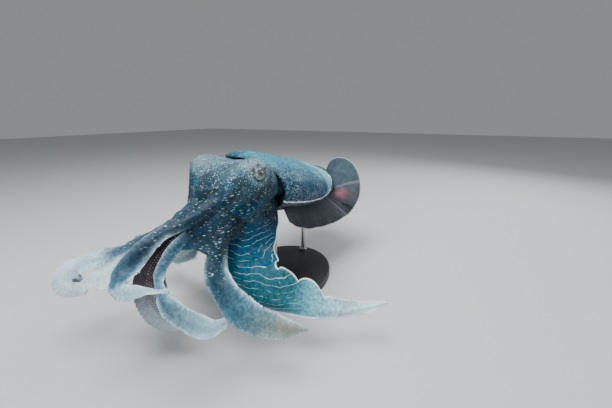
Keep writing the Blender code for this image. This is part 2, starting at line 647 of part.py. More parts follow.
def arm_sizes(arm, t):
    """Half widths to the left and right, core half width, and core heights outside and inside."""
    knots = np.array(arm.widths)
    left, right = smooth_through(knots[:, 0], knots[:, 1:], t).T
    core = arm.core * (1 - CORE_TAPER * t) * (1 - np.clip(t, 0, 0.999) ** 4) ** 0.5
    core = np.minimum(core, CORE_SHARE * np.minimum(left, right))
    outer = arm.height * (1 - HEIGHT_TAPER * t)
    inner = INNER_SHARE * outer
    return left, right, core, outer, inner


def arm_rings(arm, t):
    """Cross sections of an arm: a thick core between two thin, rippled edges."""
    centre, left, outward, _, _ = arm_frame(arm, t)
    wide_left, wide_right, core, outer, inner = arm_sizes(arm, t)
    ripple = arm.ripple * ease(t / RIPPLE_START) * np.sin(2 * np.pi * arm.waves * t + arm.phase)
    flat = 0 * core
    across = np.stack([-wide_right, -SHOULDER * core, flat, SHOULDER * core, wide_left], axis=1)
    bend = np.stack([-ripple, flat, flat, flat, ripple], axis=1)
    back = np.stack([flat, BACK_SHOULDER * outer, outer, BACK_SHOULDER * outer, flat], axis=1)
    face = np.stack([flat, FACE_SHOULDER * inner, inner, FACE_SHOULDER * inner, flat], axis=1)
    middle = centre[:, None] + across[..., None] * left[:, None]
    upper = middle + (bend + back + 0.5 * SKIN_EDGE)[..., None] * outward[:, None]
    under = middle + (bend - face - 0.5 * SKIN_EDGE)[..., None] * outward[:, None]
    return np.concatenate([upper, under[:, ::-1]], axis=1)


def sucker(centre, axis, side, radius, finish):
    """One sucker: a short stalk, sunk in the arm, that widens to a rim round a hollow cup."""
    across = np.cross(axis, side)
    angle = np.arange(SUCKER_SIDES) * 2 * np.pi / SUCKER_SIDES
    circle = radius * (np.cos(angle)[:, None] * side + np.sin(angle)[:, None] * across)
    foot = centre + axis * radius * SUCKER_FOOT
    rim = centre + axis * radius * SUCKER_RIM
    points = [foot + SUCKER_STALK * circle, rim + circle, foot, centre + axis * radius * SUCKER_CUP]
    faces = []
    for i in range(SUCKER_SIDES):
        j = (i + 1) % SUCKER_SIDES
        faces += [(i, j, SUCKER_SIDES + j), (i, SUCKER_SIDES + j, SUCKER_SIDES + i)]
        faces += [(2 * SUCKER_SIDES, j, i), (2 * SUCKER_SIDES + 1, SUCKER_SIDES + i, SUCKER_SIDES + j)]
    mesh = bpy.data.meshes.new("sucker")
    mesh.from_pydata(np.vstack(points).tolist(), [], faces)
    mesh.materials.append(finish)
    made = bpy.data.objects.new("sucker", mesh)
    bpy.context.collection.objects.link(made)
    return made


def arm_suckers(arm, first, last, finish):
    """Suckers of the stretch between two shares of the arm, in two staggered rows on its inner face."""
    made = []
    for k in range(SUCKERS_PER_ARM):
        share = ((k + 0.5) / SUCKERS_PER_ARM) ** SUCKER_STEP_POWER
        t = ARM_PARTINGS[0] + (SUCKER_LAST - ARM_PARTINGS[0]) * share
        clear_end = last if last == 1.0 else last - SUCKER_CLEAR
        if not first + SUCKER_CLEAR < t < clear_end:
            continue
        centre, left, outward, _, _ = arm_frame(arm, np.array([t]))
        _, _, core, _, inner = arm_sizes(arm, np.array([t]))
        radius = SUCKER_RADIUS * (1 - CORE_TAPER * t)
        row = SUCKER_ROW * core[0] * (1 if k % 2 else -1)
        face = centre[0] + left[0] * row - outward[0] * inner[0] * SUCKER_SINK
        made.append(sucker(face, -outward[0], left[0], radius, finish))
    return made


def arm_nodes(arm, finishes):
    """The three lengths of one arm."""
    made = []
    _, _, _, _, length = arm_frame(arm, np.array([0.0]))
    half_gap = 0.5 * GAP / length
    for index, part in enumerate(ARM_LENGTHS):
        first, last = ARM_PARTINGS[index], ARM_PARTINGS[index + 1]
        start = first + half_gap
        end = last - half_gap if last < 1.0 else ARM_END
        t = np.linspace(start, end, ARM_STATIONS)
        if last == 1.0:
            t = start + (end - start) * (1 - (1 - np.linspace(0, 1, ARM_STATIONS)) ** TIP_STEP_POWER)
        body = solid(f"{arm.name}_{part}", arm_rings(arm, t), finishes[index])
        made.append(fuse(body, arm_suckers(arm, first, last, finishes[index])))
    return made


def arm_stub(arm, finish):
    """The arm's foot inside the head, up to where its own nodes start."""
    _, _, _, _, length = arm_frame(arm, np.array([0.0]))
    t = np.linspace(0.0, ARM_PARTINGS[0] - 0.5 * GAP / length, STUB_STATIONS)
    return solid(f"{arm.name}_stub", arm_rings(arm, t), finish)


def web(first, first_reach, second, second_reach, finish):
    """A sheet ruled from one arm's middle line to the other's, with a hollow free edge."""
    arms = {arm.name: arm for arm in ARMS}
    s = np.linspace(0.0, 1.0, WEB_STATIONS)[:, None]
    angle = ring_angles(WEB_SIDES)[None]
    share = -np.cos(angle)
    down = s * (1 - WEB_HOLLOW * s * (1 - share ** 2))
    frames = [[row.reshape(*down.shape, 3) for row in arm_frame(arms[name], (reach * down).ravel())[:3]]
              for name, reach in ((first, first_reach), (second, second_reach))]
    w = (0.5 + 0.5 * share)[..., None]
    middle = frames[0][0] * (1 - w) + frames[1][0] * w
    outward = unit(frames[0][2] * (1 - w) + frames[1][2] * w)
    thick = 0.5 * WEB_THICKNESS * (1 - WEB_THINNING * s) * np.sqrt(1 - share ** WEB_EDGE_POWER)
    lift = WEB_LIFT * (1 - WEB_SETTLING * s) + thick * np.sign(np.sin(angle))
    return solid("web", middle + lift[..., None] * outward, finish)


def head(finish):
    """The head with both eye bulges, lids and flaps, the feet of the eight arms and the webs between."""
    made = solid("head", head_rings(HEAD_STATIONS, HEAD_SIDES), finish)
    pieces = [arm_stub(arm, finish) for arm in ARMS]
    pieces += [web(*row, finish) for row in WEBS]
    for sign in (1, -1):
        pieces += lids(sign, finish) + papillae(sign, finish)
    fuse(made, pieces)
    return cut(made, [ball("socket", eye_centre(sign), EYE_RADIUS + GAP, finish) for sign in (1, -1)])


def eyes(finish):
    """Both eyeballs, each in its socket."""
    return [ball("eye_left", eye_centre(1), EYE_RADIUS, finish),
            ball("eye_right", eye_centre(-1), EYE_RADIUS, finish)]


def mouth(finish):
    """The lips round the beak, a lobed dome between the arms' feet."""
    centre, _, forward, up = head_frame(1.0)
    left = np.array([1.0, 0.0, 0.0])
    angle = ring_angles(MOUTH_SIDES)
    rings = []
    for depth, size, lobed in MOUTH_RINGS:
        lobes = 1 + lobed * MOUTH_LOBE_HEIGHT * np.cos(MOUTH_LOBES * angle)
        swell = size * lobes * MOUTH_RADIUS
        rings.append(centre[0] + forward[0] * depth * MOUTH_DEPTH
                     + np.outer(np.cos(angle) * swell, left) + np.outer(np.sin(angle) * swell, up[0]))
    return solid("mouth", rings, finish)


def funnel(finish):
    """The funnel under the neck, a short open tube, cut to lie against the neck, head and mantle."""
    along = unit(FUNNEL_END - FUNNEL_START)
    left = np.array([1.0, 0.0, 0.0])
    up = np.cross(left, along)
    angle = ring_angles(FUNNEL_SIDES)
    circle = np.outer(np.cos(angle), left) * FUNNEL_FLATNESS + np.outer(np.sin(angle), up)
    reach = np.linalg.norm(FUNNEL_END - FUNNEL_START)
    rings = [FUNNEL_START + along * reach * f
             + circle * (FUNNEL_ROOT_RADIUS + (FUNNEL_TIP_RADIUS - FUNNEL_ROOT_RADIUS) * f)
             for f in FUNNEL_STEPS]
    rings += [FUNNEL_END + circle * (FUNNEL_TIP_RADIUS - FUNNEL_WALL),
              FUNNEL_END - along * FUNNEL_BORE + circle * (FUNNEL_TIP_RADIUS - FUNNEL_WALL)]
    made = solid("funnel", rings, finish)
    blocks = [mantle_body("cut_mantle", finish, GAP, hollow=False), neck("cut_neck", finish, GAP),
              solid("cut_head", head_rings(HEAD_STATIONS, HEAD_SIDES, GAP), finish)]
    return cut(made, blocks)


def fins(finish):
    """Both fins, each in three lengths, cut to meet the mantle."""
    made = []
    for side in FIN_SHAPES:
        for index, part in enumerate(FIN_LENGTHS):
            half_gap = 0.5 * GAP / MANTLE_LENGTH
            length = fin_length(f"fin_{side}_{part}", side, FIN_PARTINGS[index] + half_gap,
                                FIN_PARTINGS[index + 1] - half_gap, finish)
            made.append(cut(length, [mantle_body("cut_mantle", finish, GAP, hollow=False)]))
    return made


def stand(base_finish, rod_finish):
    """A flat oval base and two rods up to the belly."""
    angle = ring_angles(BASE_SIDES)
    rings = []
    for height, inset in ((0.0, 0.0), (BASE_HEIGHT - BASE_BEVEL, 0.0), (BASE_HEIGHT, BASE_BEVEL)):
        rings.append(np.stack([(BASE_HALF_WIDTH - inset) * np.cos(angle),
                               (BASE_HALF_LENGTH - inset) * np.sin(angle),
                               np.full(BASE_SIDES, height)], axis=1))
    made = [solid("stand_base", rings, base_finish)]
    for name, place in ROD_PLACES.items():
        angle = ring_angles(ROD_SIDES)
        circle = np.stack([ROD_RADIUS * np.cos(angle), place + ROD_RADIUS * np.sin(angle)], axis=1)
        rings = [np.hstack([circle, np.full((ROD_SIDES, 1), height)])
                 for height in (BASE_HEIGHT + GAP, ROD_TOP)]
        rod = solid(name, rings, rod_finish)
        made.append(cut(rod, [mantle_body("cut_mantle", rod_finish, GAP, hollow=False)]))
    return made


def main():
    """Builds every node."""
    clear_scene()
    skin = material("skin", SKIN_COLOUR, 0.45)
    arm_skin = material("arm_skin", ARM_COLOUR, 0.45)
    tip_skin = material("tip_skin", TIP_COLOUR, 0.45)
    fin_skin = material("fin_skin", FIN_COLOUR, 0.5)
    eyeball = material("eyeball", EYE_COLOUR, 0.15)
    lip_skin = material("lip_skin", MOUTH_COLOUR, 0.5)
    mantle_body("mantle", skin)
    neck("neck", skin)
    head(skin)
    eyes(eyeball)
    mouth(lip_skin)
    funnel(skin)
    fins(fin_skin)
    for arm in ARMS:
        arm_nodes(arm, (skin, arm_skin, tip_skin))
    stand(material("base_paint", BASE_COLOUR, 0.5), material("rod_steel", ROD_COLOUR, 0.3, 1.0))


main()
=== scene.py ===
"""Looks of a life-size giant Australian cuttlefish on a display stand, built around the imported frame.

Metres, +Z up. The head looks towards -Y and the animal's left is +X. One skin stands for the flesh,
and the fins, suckers, eyes, lips, beak and stand are pieces of their own.
"""

import logging
import math
from dataclasses import dataclass, field
from enum import Enum
from functools import reduce
from typing import Sequence

import bpy
import numpy as np
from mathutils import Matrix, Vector


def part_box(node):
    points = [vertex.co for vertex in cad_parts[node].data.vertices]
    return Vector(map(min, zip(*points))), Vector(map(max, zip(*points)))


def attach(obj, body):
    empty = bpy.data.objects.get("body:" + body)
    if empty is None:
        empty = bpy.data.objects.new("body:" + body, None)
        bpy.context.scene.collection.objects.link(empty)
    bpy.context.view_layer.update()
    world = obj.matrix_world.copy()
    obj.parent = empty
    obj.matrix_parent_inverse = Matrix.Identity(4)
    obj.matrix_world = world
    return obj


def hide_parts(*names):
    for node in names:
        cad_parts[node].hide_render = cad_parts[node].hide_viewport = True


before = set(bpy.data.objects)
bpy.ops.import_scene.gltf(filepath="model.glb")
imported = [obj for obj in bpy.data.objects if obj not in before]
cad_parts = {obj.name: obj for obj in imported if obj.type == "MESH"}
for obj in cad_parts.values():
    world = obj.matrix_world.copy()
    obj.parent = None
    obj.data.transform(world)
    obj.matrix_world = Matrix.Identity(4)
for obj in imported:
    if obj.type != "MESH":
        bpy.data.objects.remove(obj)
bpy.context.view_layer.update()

LOG = logging.getLogger("cuttlefish")
Array = np.ndarray
LEFT = np.array([1.0, 0.0, 0.0])
SEED = 11
FIELD_WAVES = 12
ROOT_FILLET = 0.022
ARM_FILLET = 0.012
RICHNESS = 1.16
SHARP_ANGLE = math.radians(30.0)


class Side(Enum):
    """A side of the animal, with the sign of its X."""

    LEFT = 1
    RIGHT = -1


class Solver(Enum):
    """How closed meshes are put together."""

    JOIN = "UNION"
    CUT = "DIFFERENCE"


def unit(rows: Array) -> Array:
    """Each row at length one."""
    return rows / np.linalg.norm(rows, axis=-1, keepdims=True)


def ease(x: Array) -> Array:
    """0 below 0, 1 above 1, and a smooth step between."""
    x = np.clip(x, 0.0, 1.0)
    return x * x * (3 - 2 * x)


def bell(x: Array) -> Array:
    """A smooth hump of height one and width one about zero."""
    return np.exp(-np.square(x))


def linear(code: str) -> Array:
    """An sRGB hex colour as linear red, green and blue.

    Args:
        code: six hex digits after a hash.

    Returns:
        Three linear values from 0 to 1.
    """
    channels = np.array([int(code[i:i + 2], 16) for i in (1, 3, 5)]) / 255.0
    return np.where(channels <= 0.04045, channels / 12.92, ((channels + 0.055) / 1.055) ** 2.4)


def vivid(colours: Array, factor: float) -> Array:
    """Colours moved away from their own grey by a factor."""
    grey = colours.mean(axis=-1, keepdims=True)
    return np.clip(grey + (colours - grey) * factor, 0, 1)


def mixed(first: Array | str, second: Array | str, share: Array) -> Array:
    """Two sRGB hex colours or fields of linear colour, mixed by a field of shares."""
    first, second = (linear(tint) if isinstance(tint, str) else tint for tint in (first, second))
    return first + (second - first) * np.asarray(share)[..., None]


def painted(colour: Array, *layers: tuple[str, Array]) -> Array:
    """A field of colour under layers, each an sRGB hex colour and a field of shares."""
    return reduce(lambda below, layer: mixed(below, *layer), layers, colour)


def smooth_through(knots: Sequence, rows: Sequence, at: Array) -> Array:
    """A cubic that passes each row at its knot, with slopes from the rows beside it.

    Args:
        knots: places of the rows, rising.
        rows: one row of values for each knot.
        at: places to read.

    Returns:
        One row for each place in at.
    """
    knots = np.asarray(knots, float)
    rows = np.asarray(rows, float)
    slopes = np.gradient(rows, knots, axis=0)
    index = np.clip(np.searchsorted(knots, at, side="right") - 1, 0, len(knots) - 2)
    span = (knots[index + 1] - knots[index])[:, None]
    f = (at - knots[index])[:, None] / span
    return (rows[index] * (1 + 2 * f) * (1 - f) ** 2 + slopes[index] * span * f * (1 - f) ** 2
            + rows[index + 1] * f ** 2 * (3 - 2 * f) + slopes[index + 1] * span * f ** 2 * (f - 1))


def along_path(points: Sequence, extras: Sequence, t: Array) -> tuple[Array, Array, Array, float]:
    """A path's point, extras and direction at shares t of its real length.

    Args:
        points: places that the path passes.
        extras: values carried along with each place.
        t: shares of the length, from 0 to 1.

    Returns:
        Points, extras and unit directions at t, and the whole length.
    """
    points = np.asarray(points, float)
    chords = np.concatenate([[0.0], np.cumsum(np.linalg.norm(np.diff(points, axis=0), axis=1))])
    dense_at = np.linspace(0.0, chords[-1], 600)
    dense = smooth_through(chords, np.hstack([points, np.asarray(extras, float)]), dense_at)
    run = np.concatenate([[0.0], np.cumsum(np.linalg.norm(np.diff(dense[:, :3], axis=0), axis=1))])
    rows = np.hstack([dense, unit(np.gradient(dense[:, :3], run, axis=0))])
    read = np.stack([np.interp(t * run[-1], run, column) for column in rows.T], axis=1)
    return read[:, :3], read[:, 3:-3], unit(read[:, -3:]), run[-1]


def ring_angles(count: int) -> Array:
    """Angles round a ring whose first half is the upper face, from right to left."""
    return np.pi - (np.arange(count) + 0.5) * 2 * np.pi / count


def rounded(angle: Array, power: float) -> tuple[Array, Array]:
    """A point of a rounded box of half sizes one, at an angle."""
    c, s = np.cos(angle), np.sin(angle)
    return np.sign(c) * np.abs(c) ** (2 / power), np.sign(s) * np.abs(s) ** (2 / power)


def graded(stops: Sequence, at: Array) -> Array:
    """Linear colours at places between stops, each a place and its sRGB hex colour."""
    places = [stop[0] for stop in stops]
    rows = np.array([linear(stop[1]) for stop in stops])
    return np.stack([np.interp(at, places, rows[:, channel]) for channel in range(3)], axis=-1)


def swells(points: Array, size: float, seed: int) -> Array:
    """A smooth, irregular field from -1 to 1: the mean of a dozen sine waves in random directions.

    Args:
        points: places, three values each.
        size: length of the waves in metres.
        seed: picks the directions.

    Returns:
        One value for each place.
    """
    draw = np.random.default_rng(SEED + seed)
    waves = unit(draw.normal(size=(FIELD_WAVES, 3)))
    waves = waves * draw.uniform(0.6, 1.5, size=(FIELD_WAVES, 1)) * 2 * np.pi / size
    starts = draw.uniform(0, 2 * np.pi, FIELD_WAVES)
    return np.clip(np.sin(points @ waves.T + starts).mean(axis=-1) * 2.2, -1, 1)


@dataclass
class Patch:
    """A closed surface of rings, and what the finish knows at each of its points.

    The facts are named arrays of one value a point, and tint is the linear colour there.
    """

    points: Array
    tint: Array
    facts: dict[str, Array] = field(default_factory=dict)


def normals(points: Array) -> Array:
    """Unit vectors out of a surface of rings: the cross product of its two directions on the grid."""
    across = np.roll(points, -1, axis=1) - np.roll(points, 1, axis=1)
    normal = np.cross(across, np.gradient(points, axis=0))
    normal /= np.linalg.norm(normal, axis=-1, keepdims=True) + 1e-12
    outward = ((points - points.mean(axis=1, keepdims=True)) * normal).sum()
    return normal if outward > 0 else -normal


def pushed(points: Array, move: Array) -> Array:
    """A surface moved outwards by a field of distances."""
    return points + normals(points) * move[..., None]


def grid_faces(stations: int, count: int) -> list[tuple]:
    """Quads between rings, and one flat face on each end ring."""
    i, j = np.meshgrid(np.arange(stations - 1), np.arange(count), indexing="ij")
    k = (j + 1) % count
    quads = np.stack([i * count + j, i * count + k, (i + 1) * count + k, (i + 1) * count + j], axis=-1)
    last = (stations - 1) * count
    ends = [tuple(range(count))[::-1], tuple(range(last, last + count))]
    return [tuple(face) for face in quads.reshape(-1, 4).tolist()] + ends


def linked(name: str, data: bpy.types.ID | None) -> bpy.types.Object:
    """A new object of the scene around its mesh, light or camera."""
    made = bpy.data.objects.new(name, data)
    bpy.context.scene.collection.objects.link(made)
    return made


def closed_mesh(name: str, rings: Array) -> bpy.types.Object:
    """A closed object through rings of equal point count, with its faces pointing out.

    Args:
        name: the object's name.
        rings: places, as stations by points by three.

    Returns:
        The linked object.
    """
    stations, count = rings.shape[:2]
    points = rings.reshape(-1, 3)
    faces = grid_faces(stations, count)
    quads = np.array(faces[:-2])
    a, b, c, d = (points[quads[:, corner]] for corner in range(4))
    volume = np.einsum("ij,ij->i", a + b + c + d, np.cross(c - a, d - b)).sum()
    if volume < 0:
        faces = [face[::-1] for face in faces]
    mesh = bpy.data.meshes.new(name)
    mesh.from_pydata(points.tolist(), [], faces)
    return linked(name, mesh)


def finished(name: str, rings: Array, finish: bpy.types.Material, sharp: bool = False) -> bpy.types.Object:
    """A closed, smooth-shaded object in one finish; sharp keeps its steep edges as edges."""
    made = closed_mesh(name, rings)
    made.data.shade_smooth()
    if sharp:
        made.data.set_sharp_from_angle(angle=SHARP_ANGLE)
    made.data.materials.append(finish)
    return made


def combine(target: bpy.types.Object, pieces: list, how: Solver) -> bpy.types.Object:
    """Joins closed pieces to a closed object, or cuts them from it, and removes the pieces."""
    group = bpy.data.collections.new(target.name + "_pieces")
    bpy.context.scene.collection.children.link(group)
    for piece in pieces:
        for owner in list(piece.users_collection):
            owner.objects.unlink(piece)
        group.objects.link(piece)
    step = target.modifiers.new("combine", "BOOLEAN")
    step.operation = how.value
    step.operand_type = "COLLECTION"
    step.collection = group
    step.solver = "MANIFOLD"
    bpy.context.view_layer.update()
    graph = bpy.context.evaluated_depsgraph_get()
    made = bpy.data.meshes.new_from_object(target.evaluated_get(graph))
    target.modifiers.remove(step)
    target.data = made
    for piece in pieces:
        bpy.data.objects.remove(piece)
    bpy.data.collections.remove(group)
    return target


def vertex_places(mesh: bpy.types.Mesh) -> Array:
    """Every vertex of a mesh, as rows of three."""
    places = np.empty(len(mesh.vertices) * 3, np.float32)
    mesh.vertices.foreach_get("co", places)
    return places.reshape(-1, 3).astype(float)


def set_field(mesh: bpy.types.Mesh, name: str, values: Array) -> None:
    """Writes one number for each vertex as a named attribute."""
    made = mesh.attributes.new(name, "FLOAT", "POINT")
    made.data.foreach_set("value", np.ascontiguousarray(values, np.float32))


def set_tint(mesh: bpy.types.Mesh, colours: Array) -> None:
    """Writes one linear colour for each vertex as the attribute tint."""
    made = mesh.attributes.new("tint", "FLOAT_COLOR", "POINT")
    whole = np.hstack([np.clip(colours, 0, 1), np.ones((len(colours), 1))])
    made.data.foreach_set("color", np.ascontiguousarray(whole, np.float32).ravel())


class Wire:
    """A number or colour field of a material; each sum of two of them adds a Math node."""

    def __init__(self, ink: "Ink", socket: bpy.types.NodeSocket) -> None:
        """Keeps the output socket and the material it belongs to."""
        self.ink, self.socket = ink, socket

    def __add__(self, other: "Wire | float") -> "Wire":
        """The sum of both."""
        return self.ink.math("ADD", self, other)

    def __sub__(self, other: "Wire | float") -> "Wire":
        """This field less the other."""
        return self.ink.math("SUBTRACT", self, other)

    def __rsub__(self, other: float) -> "Wire":
        """A number less this field."""
        return self.ink.math("SUBTRACT", other, self)

    def __mul__(self, other: "Wire | float") -> "Wire":
        """The product of both."""
        return self.ink.math("MULTIPLY", self, other)

    def __truediv__(self, other: float) -> "Wire":
        """This field divided by a number."""
        return self.ink.math("DIVIDE", self, other)

    def __pow__(self, other: float) -> "Wire":
        """This field to a power."""
        return self.ink.math("POWER", self, other)

    def __abs__(self) -> "Wire":
        """This field without its sign."""
        return self.ink.math("ABSOLUTE", self)

    __radd__, __rmul__ = __add__, __mul__


class Ink:
    """Writes the fields of one material's node tree."""

    def __init__(self, name: str) -> None:
        """Starts a material of that name with a Principled shader."""
        self.material = bpy.data.materials.new(name)
        self.material.use_nodes = True
        self.tree = self.material.node_tree

    def feed(self, socket: bpy.types.NodeSocket, value: "Wire | str | float | tuple") -> None:
        """Links a socket to a field, or sets it to an sRGB hex colour or a fixed value."""
        if isinstance(value, Wire):
            self.tree.links.new(value.socket, socket)
        else:
            socket.default_value = (*linear(value), 1.0) if isinstance(value, str) else value

    def node(self, kind: str, output: str | int, inputs: dict, **settings: str) -> Wire:
        """Adds a shader node.

        Args:
            kind: the node's type without its ShaderNode start.
            output: name or number of the output that is wanted.
            inputs: input name or number to what it is fed with.
            settings: properties of the node.

        Returns:
            The field at the output.
        """
        made = self.tree.nodes.new("ShaderNode" + kind)
        for name, value in settings.items():
            setattr(made, name, value)
        for name, value in inputs.items():
            self.feed(made.inputs[name], value)
        return Wire(self, made.outputs[output])

    def fact(self, name: str, output: str = "Fac") -> Wire:
        """A named attribute of the surface."""
        return self.node("Attribute", output, {}, attribute_name=name)

    def place(self) -> Wire:
        """The point of the surface, in metres."""
        return self.node("TexCoord", "Object", {})

    def math(self, work: str, first: Wire | float, second: Wire | float = 0.0) -> Wire:
        """One sum of one or two numbers or fields."""
        return self.node("Math", 0, {0: first, 1: second}, operation=work)

    def most(self, *fields: Wire) -> Wire:
        """The largest of some fields."""
        return reduce(lambda first, second: self.math("MAXIMUM", first, second), fields)

    def wave(self, run: Wire, length: float) -> Wire:
        """A sine wave of that length along a field."""
        return self.math("SINE", run * (2 * math.pi / length))

    def ramp(self, value: Wire, low: float, high: float, start: float = 0.0, end: float = 1.0) -> Wire:
        """A smooth step from start to end as value goes from low to high."""
        inputs = {"Value": value, "From Min": low, "From Max": high, "To Min": start, "To Max": end}
        return self.node("MapRange", "Result", inputs, interpolation_type="SMOOTHSTEP")

    def mix(self, share: Wire | float, first: Wire | str, second: Wire | str, blend: str = "MIX") -> Wire:
        """Two colours, mixed by a share, at the colour inputs and output of the node."""
        return self.node("Mix", 2, {0: share, 6: first, 7: second}, data_type="RGBA", blend_type=blend)

    def shaded(self, colour: Wire, level: Wire) -> Wire:
        """A colour made lighter or darker by a field."""
        grey = self.node("CombineColor", 0, {0: level, 1: level, 2: level})
        return self.mix(1.0, colour, grey, "MULTIPLY")

    def noise(self, where: Wire, scale: float, detail: float = 3.0, roughness: float = 0.55) -> Wire:
        """A cloudy number field."""
        inputs = {"Vector": where, "Scale": scale, "Detail": detail, "Roughness": roughness}
        return self.node("TexNoise", "Fac", inputs)

    def cells(self, where: Wire, scale: float, loose: float = 1.0) -> Wire:
        """Distance to the nearest of scattered points."""
        return self.node("TexVoronoi", "Distance", {"Vector": where, "Scale": scale, "Randomness": loose})

    def bump(self, height: Wire, strength: float, distance: float, below: Wire | None = None) -> Wire:
        """Relief from a height field, on top of another relief if one is given."""
        inputs = {"Height": height, "Strength": strength, "Distance": distance}
        if below is not None:
            inputs["Normal"] = below
        return self.node("Bump", "Normal", inputs)

    def finish(self, **values: Wire | str | float) -> bpy.types.Material:
        """Feeds the shader's sockets, each word with a space for its underscore, and gives the material."""
        for name, value in values.items():
            self.feed(self.tree.nodes["Principled BSDF"].inputs[name.replace("_", " ")], value)
        return self.material


@dataclass(frozen=True)
class LivingSkin:
    """Wet cuttlefish skin: a soft hide with a film of slime, dotted and lined with white cells.

    The dots stand about 3 mm apart, the dashes on the arms 11 mm sideways and 2 mm up and down, the
    spots 17 mm, the meshes of the mantle's net 3 mm and the lines of the webs 9 mm. The rim is the
    white edge of the banners, and the border the white line round the mantle.
    """

    name: str = "living_skin"
    white: str = "#bddce8"
    edging: str = "#ecf6fa"
    blush: str = "#5b5663"
    dot_spacing: float = 0.0031
    row_spacing: float = 0.0021
    dash_spacing: float = 0.0106
    spot_spacing: float = 0.0170
    net_spacing: float = 0.0026
    net_strength: float = 0.41
    line_spacing: float = 0.0088
    line_strength: float = 0.78
    rib_spacing: float = 0.0024
    rib_strength: float = 0.055
    rim_width: float = 0.0034
    border_width: float = 0.0019
    border_wander: float = 0.007
    dulling: float = 0.62
    roughness: float = 0.50

    def head_dots(self, ink: Ink) -> Wire:
        """Small white dots of uneven size, crowded on the head."""
        where = ink.place()
        size = ink.ramp(ink.noise(where, 70.0), 0.30, 0.66, 0.04, 0.34)
        return ink.ramp(ink.cells(where, 1.0 / self.dot_spacing, 0.85) - size, 0.09, -0.07)

    def dashes(self, ink: Ink) -> Wire:
        """Short level dashes: two sets of cells drawn out sideways, of uneven size."""
        sets = []
        scale = (1 / self.dash_spacing, 1 / self.dash_spacing, 1 / self.row_spacing)
        for start in (0.0, 0.37):
            inputs = {0: ink.place(), 1: scale, 2: (start, start, 40 * start)}
            where = ink.node("VectorMath", 0, inputs, operation="MULTIPLY_ADD")
            size = ink.ramp(ink.noise(where, 0.45), 0.32, 0.68, 0.06, 0.23)
            sets.append(ink.ramp(ink.cells(where, 1.0, 0.9) - size, 0.05, -0.05))
        return ink.most(*sets)

    def spots(self, ink: Ink) -> Wire:
        """A few larger white spots."""
        where = ink.place()
        size = ink.ramp(ink.noise(where, 40.0), 0.36, 0.58, 0.0, 0.15)
        return ink.ramp(ink.cells(where, 1.0 / self.spot_spacing) - size, 0.03, -0.03)

    def mantle_net(self, ink: Ink) -> Wire:
        """A fine, wandering net of pale specks on the mantle, drawn out along the body."""
        where = ink.node("VectorMath", 0, {0: ink.place(), 1: (1.15, 0.45, 1.15)}, operation="MULTIPLY")
        fine = ink.ramp(ink.noise(where, 0.9 / self.net_spacing, 2.0, 0.4), 0.525, 0.56)
        return fine * ink.ramp(ink.noise(where, 38.0, 3.0), 0.35, 0.65, 0.35, 1.0)

    def web_lines(self, ink: Ink) -> Wire:
        """Thin, broken, level white lines on the broad webs, in shallow arcs that sag in the middle.

        The height over the spacing is bent by a parabola across the web and by noise, and a line
        shows where its fraction is near one half.
        """
        where = ink.place()
        level = ink.node("SeparateXYZ", 2, {0: where})
        arc = ((ink.fact("across") - 0.022) / 0.034) ** 2.0
        run = level / self.line_spacing + ink.noise(where, 24.0, 3.0, 0.5) * 2.4 - arc * 0.80
        line = ink.ramp(abs(ink.math("FRACT", run) - 0.5), 0.046, 0.018)
        return line * ink.ramp(ink.noise(where, 52.0, 2.0), 0.43, 0.48)

    def build(self) -> bpy.types.Material:
        """Makes the material."""
        ink = Ink(self.name)
        where = ink.place()
        mantle, pale, line = (ink.fact(name) for name in ("mantle", "pale", "line"))
        outside = 1.0 - ink.fact("oral")
        dull = 1.0 - pale * self.dulling
        ribs = ink.wave(ink.fact("along"), self.rib_spacing) * (pale * self.rib_strength)
        mottle = ink.ramp(ink.noise(where, 230.0, 5.0, 0.68), 0.33, 0.68, -0.40, 0.34)
        colour = ink.shaded(ink.fact("tint", "Color"), 1.0 + mottle * dull + ribs)
        blush = ink.ramp(ink.noise(where, 110.0, 3.0), 0.50, 0.66, 0.0, 0.26)
        colour = ink.mix(blush * dull, colour, self.blush)
        dots = ink.most(self.dashes(ink) * ink.fact("dashes"), self.head_dots(ink) * ink.fact("dots"))
        dots = dots * outside * dull
        spots = self.spots(ink) * ink.fact("spotted") * outside
        net = self.mantle_net(ink) * mantle * self.net_strength * ink.ramp(line, -0.0010, 0.0050)
        lines = self.web_lines(ink) * ink.fact("web") * outside
        ragged = line + (ink.noise(where, 150.0) - 0.5) * self.border_wander
        border = ink.ramp(abs(ragged), self.border_width, 0.0010) * mantle
        rim = ink.ramp(ink.fact("rim"), self.rim_width, 0.0018) * ink.fact("bright")
        strength = ink.ramp(ink.noise(where, 200.0), 0.36, 0.62, 0.30, 0.95)
        strength = ink.most(strength, rim, border, lines * self.line_strength)
        marks = ink.most(dots, net, lines, border, spots, rim)
        colour = ink.mix(marks * strength, colour, self.white)
        colour = ink.mix(ink.most(rim, border), colour, self.edging)
        relief = ink.bump(ink.noise(where, 420.0, 4.0), 0.25, 0.0006)
        relief = ink.bump(ink.most(dots, net * 0.8), 0.5, 0.0005, relief)
        relief = ink.bump(ribs, 1.0, 0.003, relief)
        rough = ink.ramp(ink.noise(where, 90.0), 0.3, 0.7, self.roughness - 0.08, self.roughness + 0.12)
        return ink.finish(Base_Color=colour, Roughness=rough, Normal=relief, IOR=1.36,
                          Specular_IOR_Level=0.24, Coat_Weight=0.04, Coat_Roughness=0.20,
                          Subsurface_Weight=0.04, Subsurface_Scale=0.003)


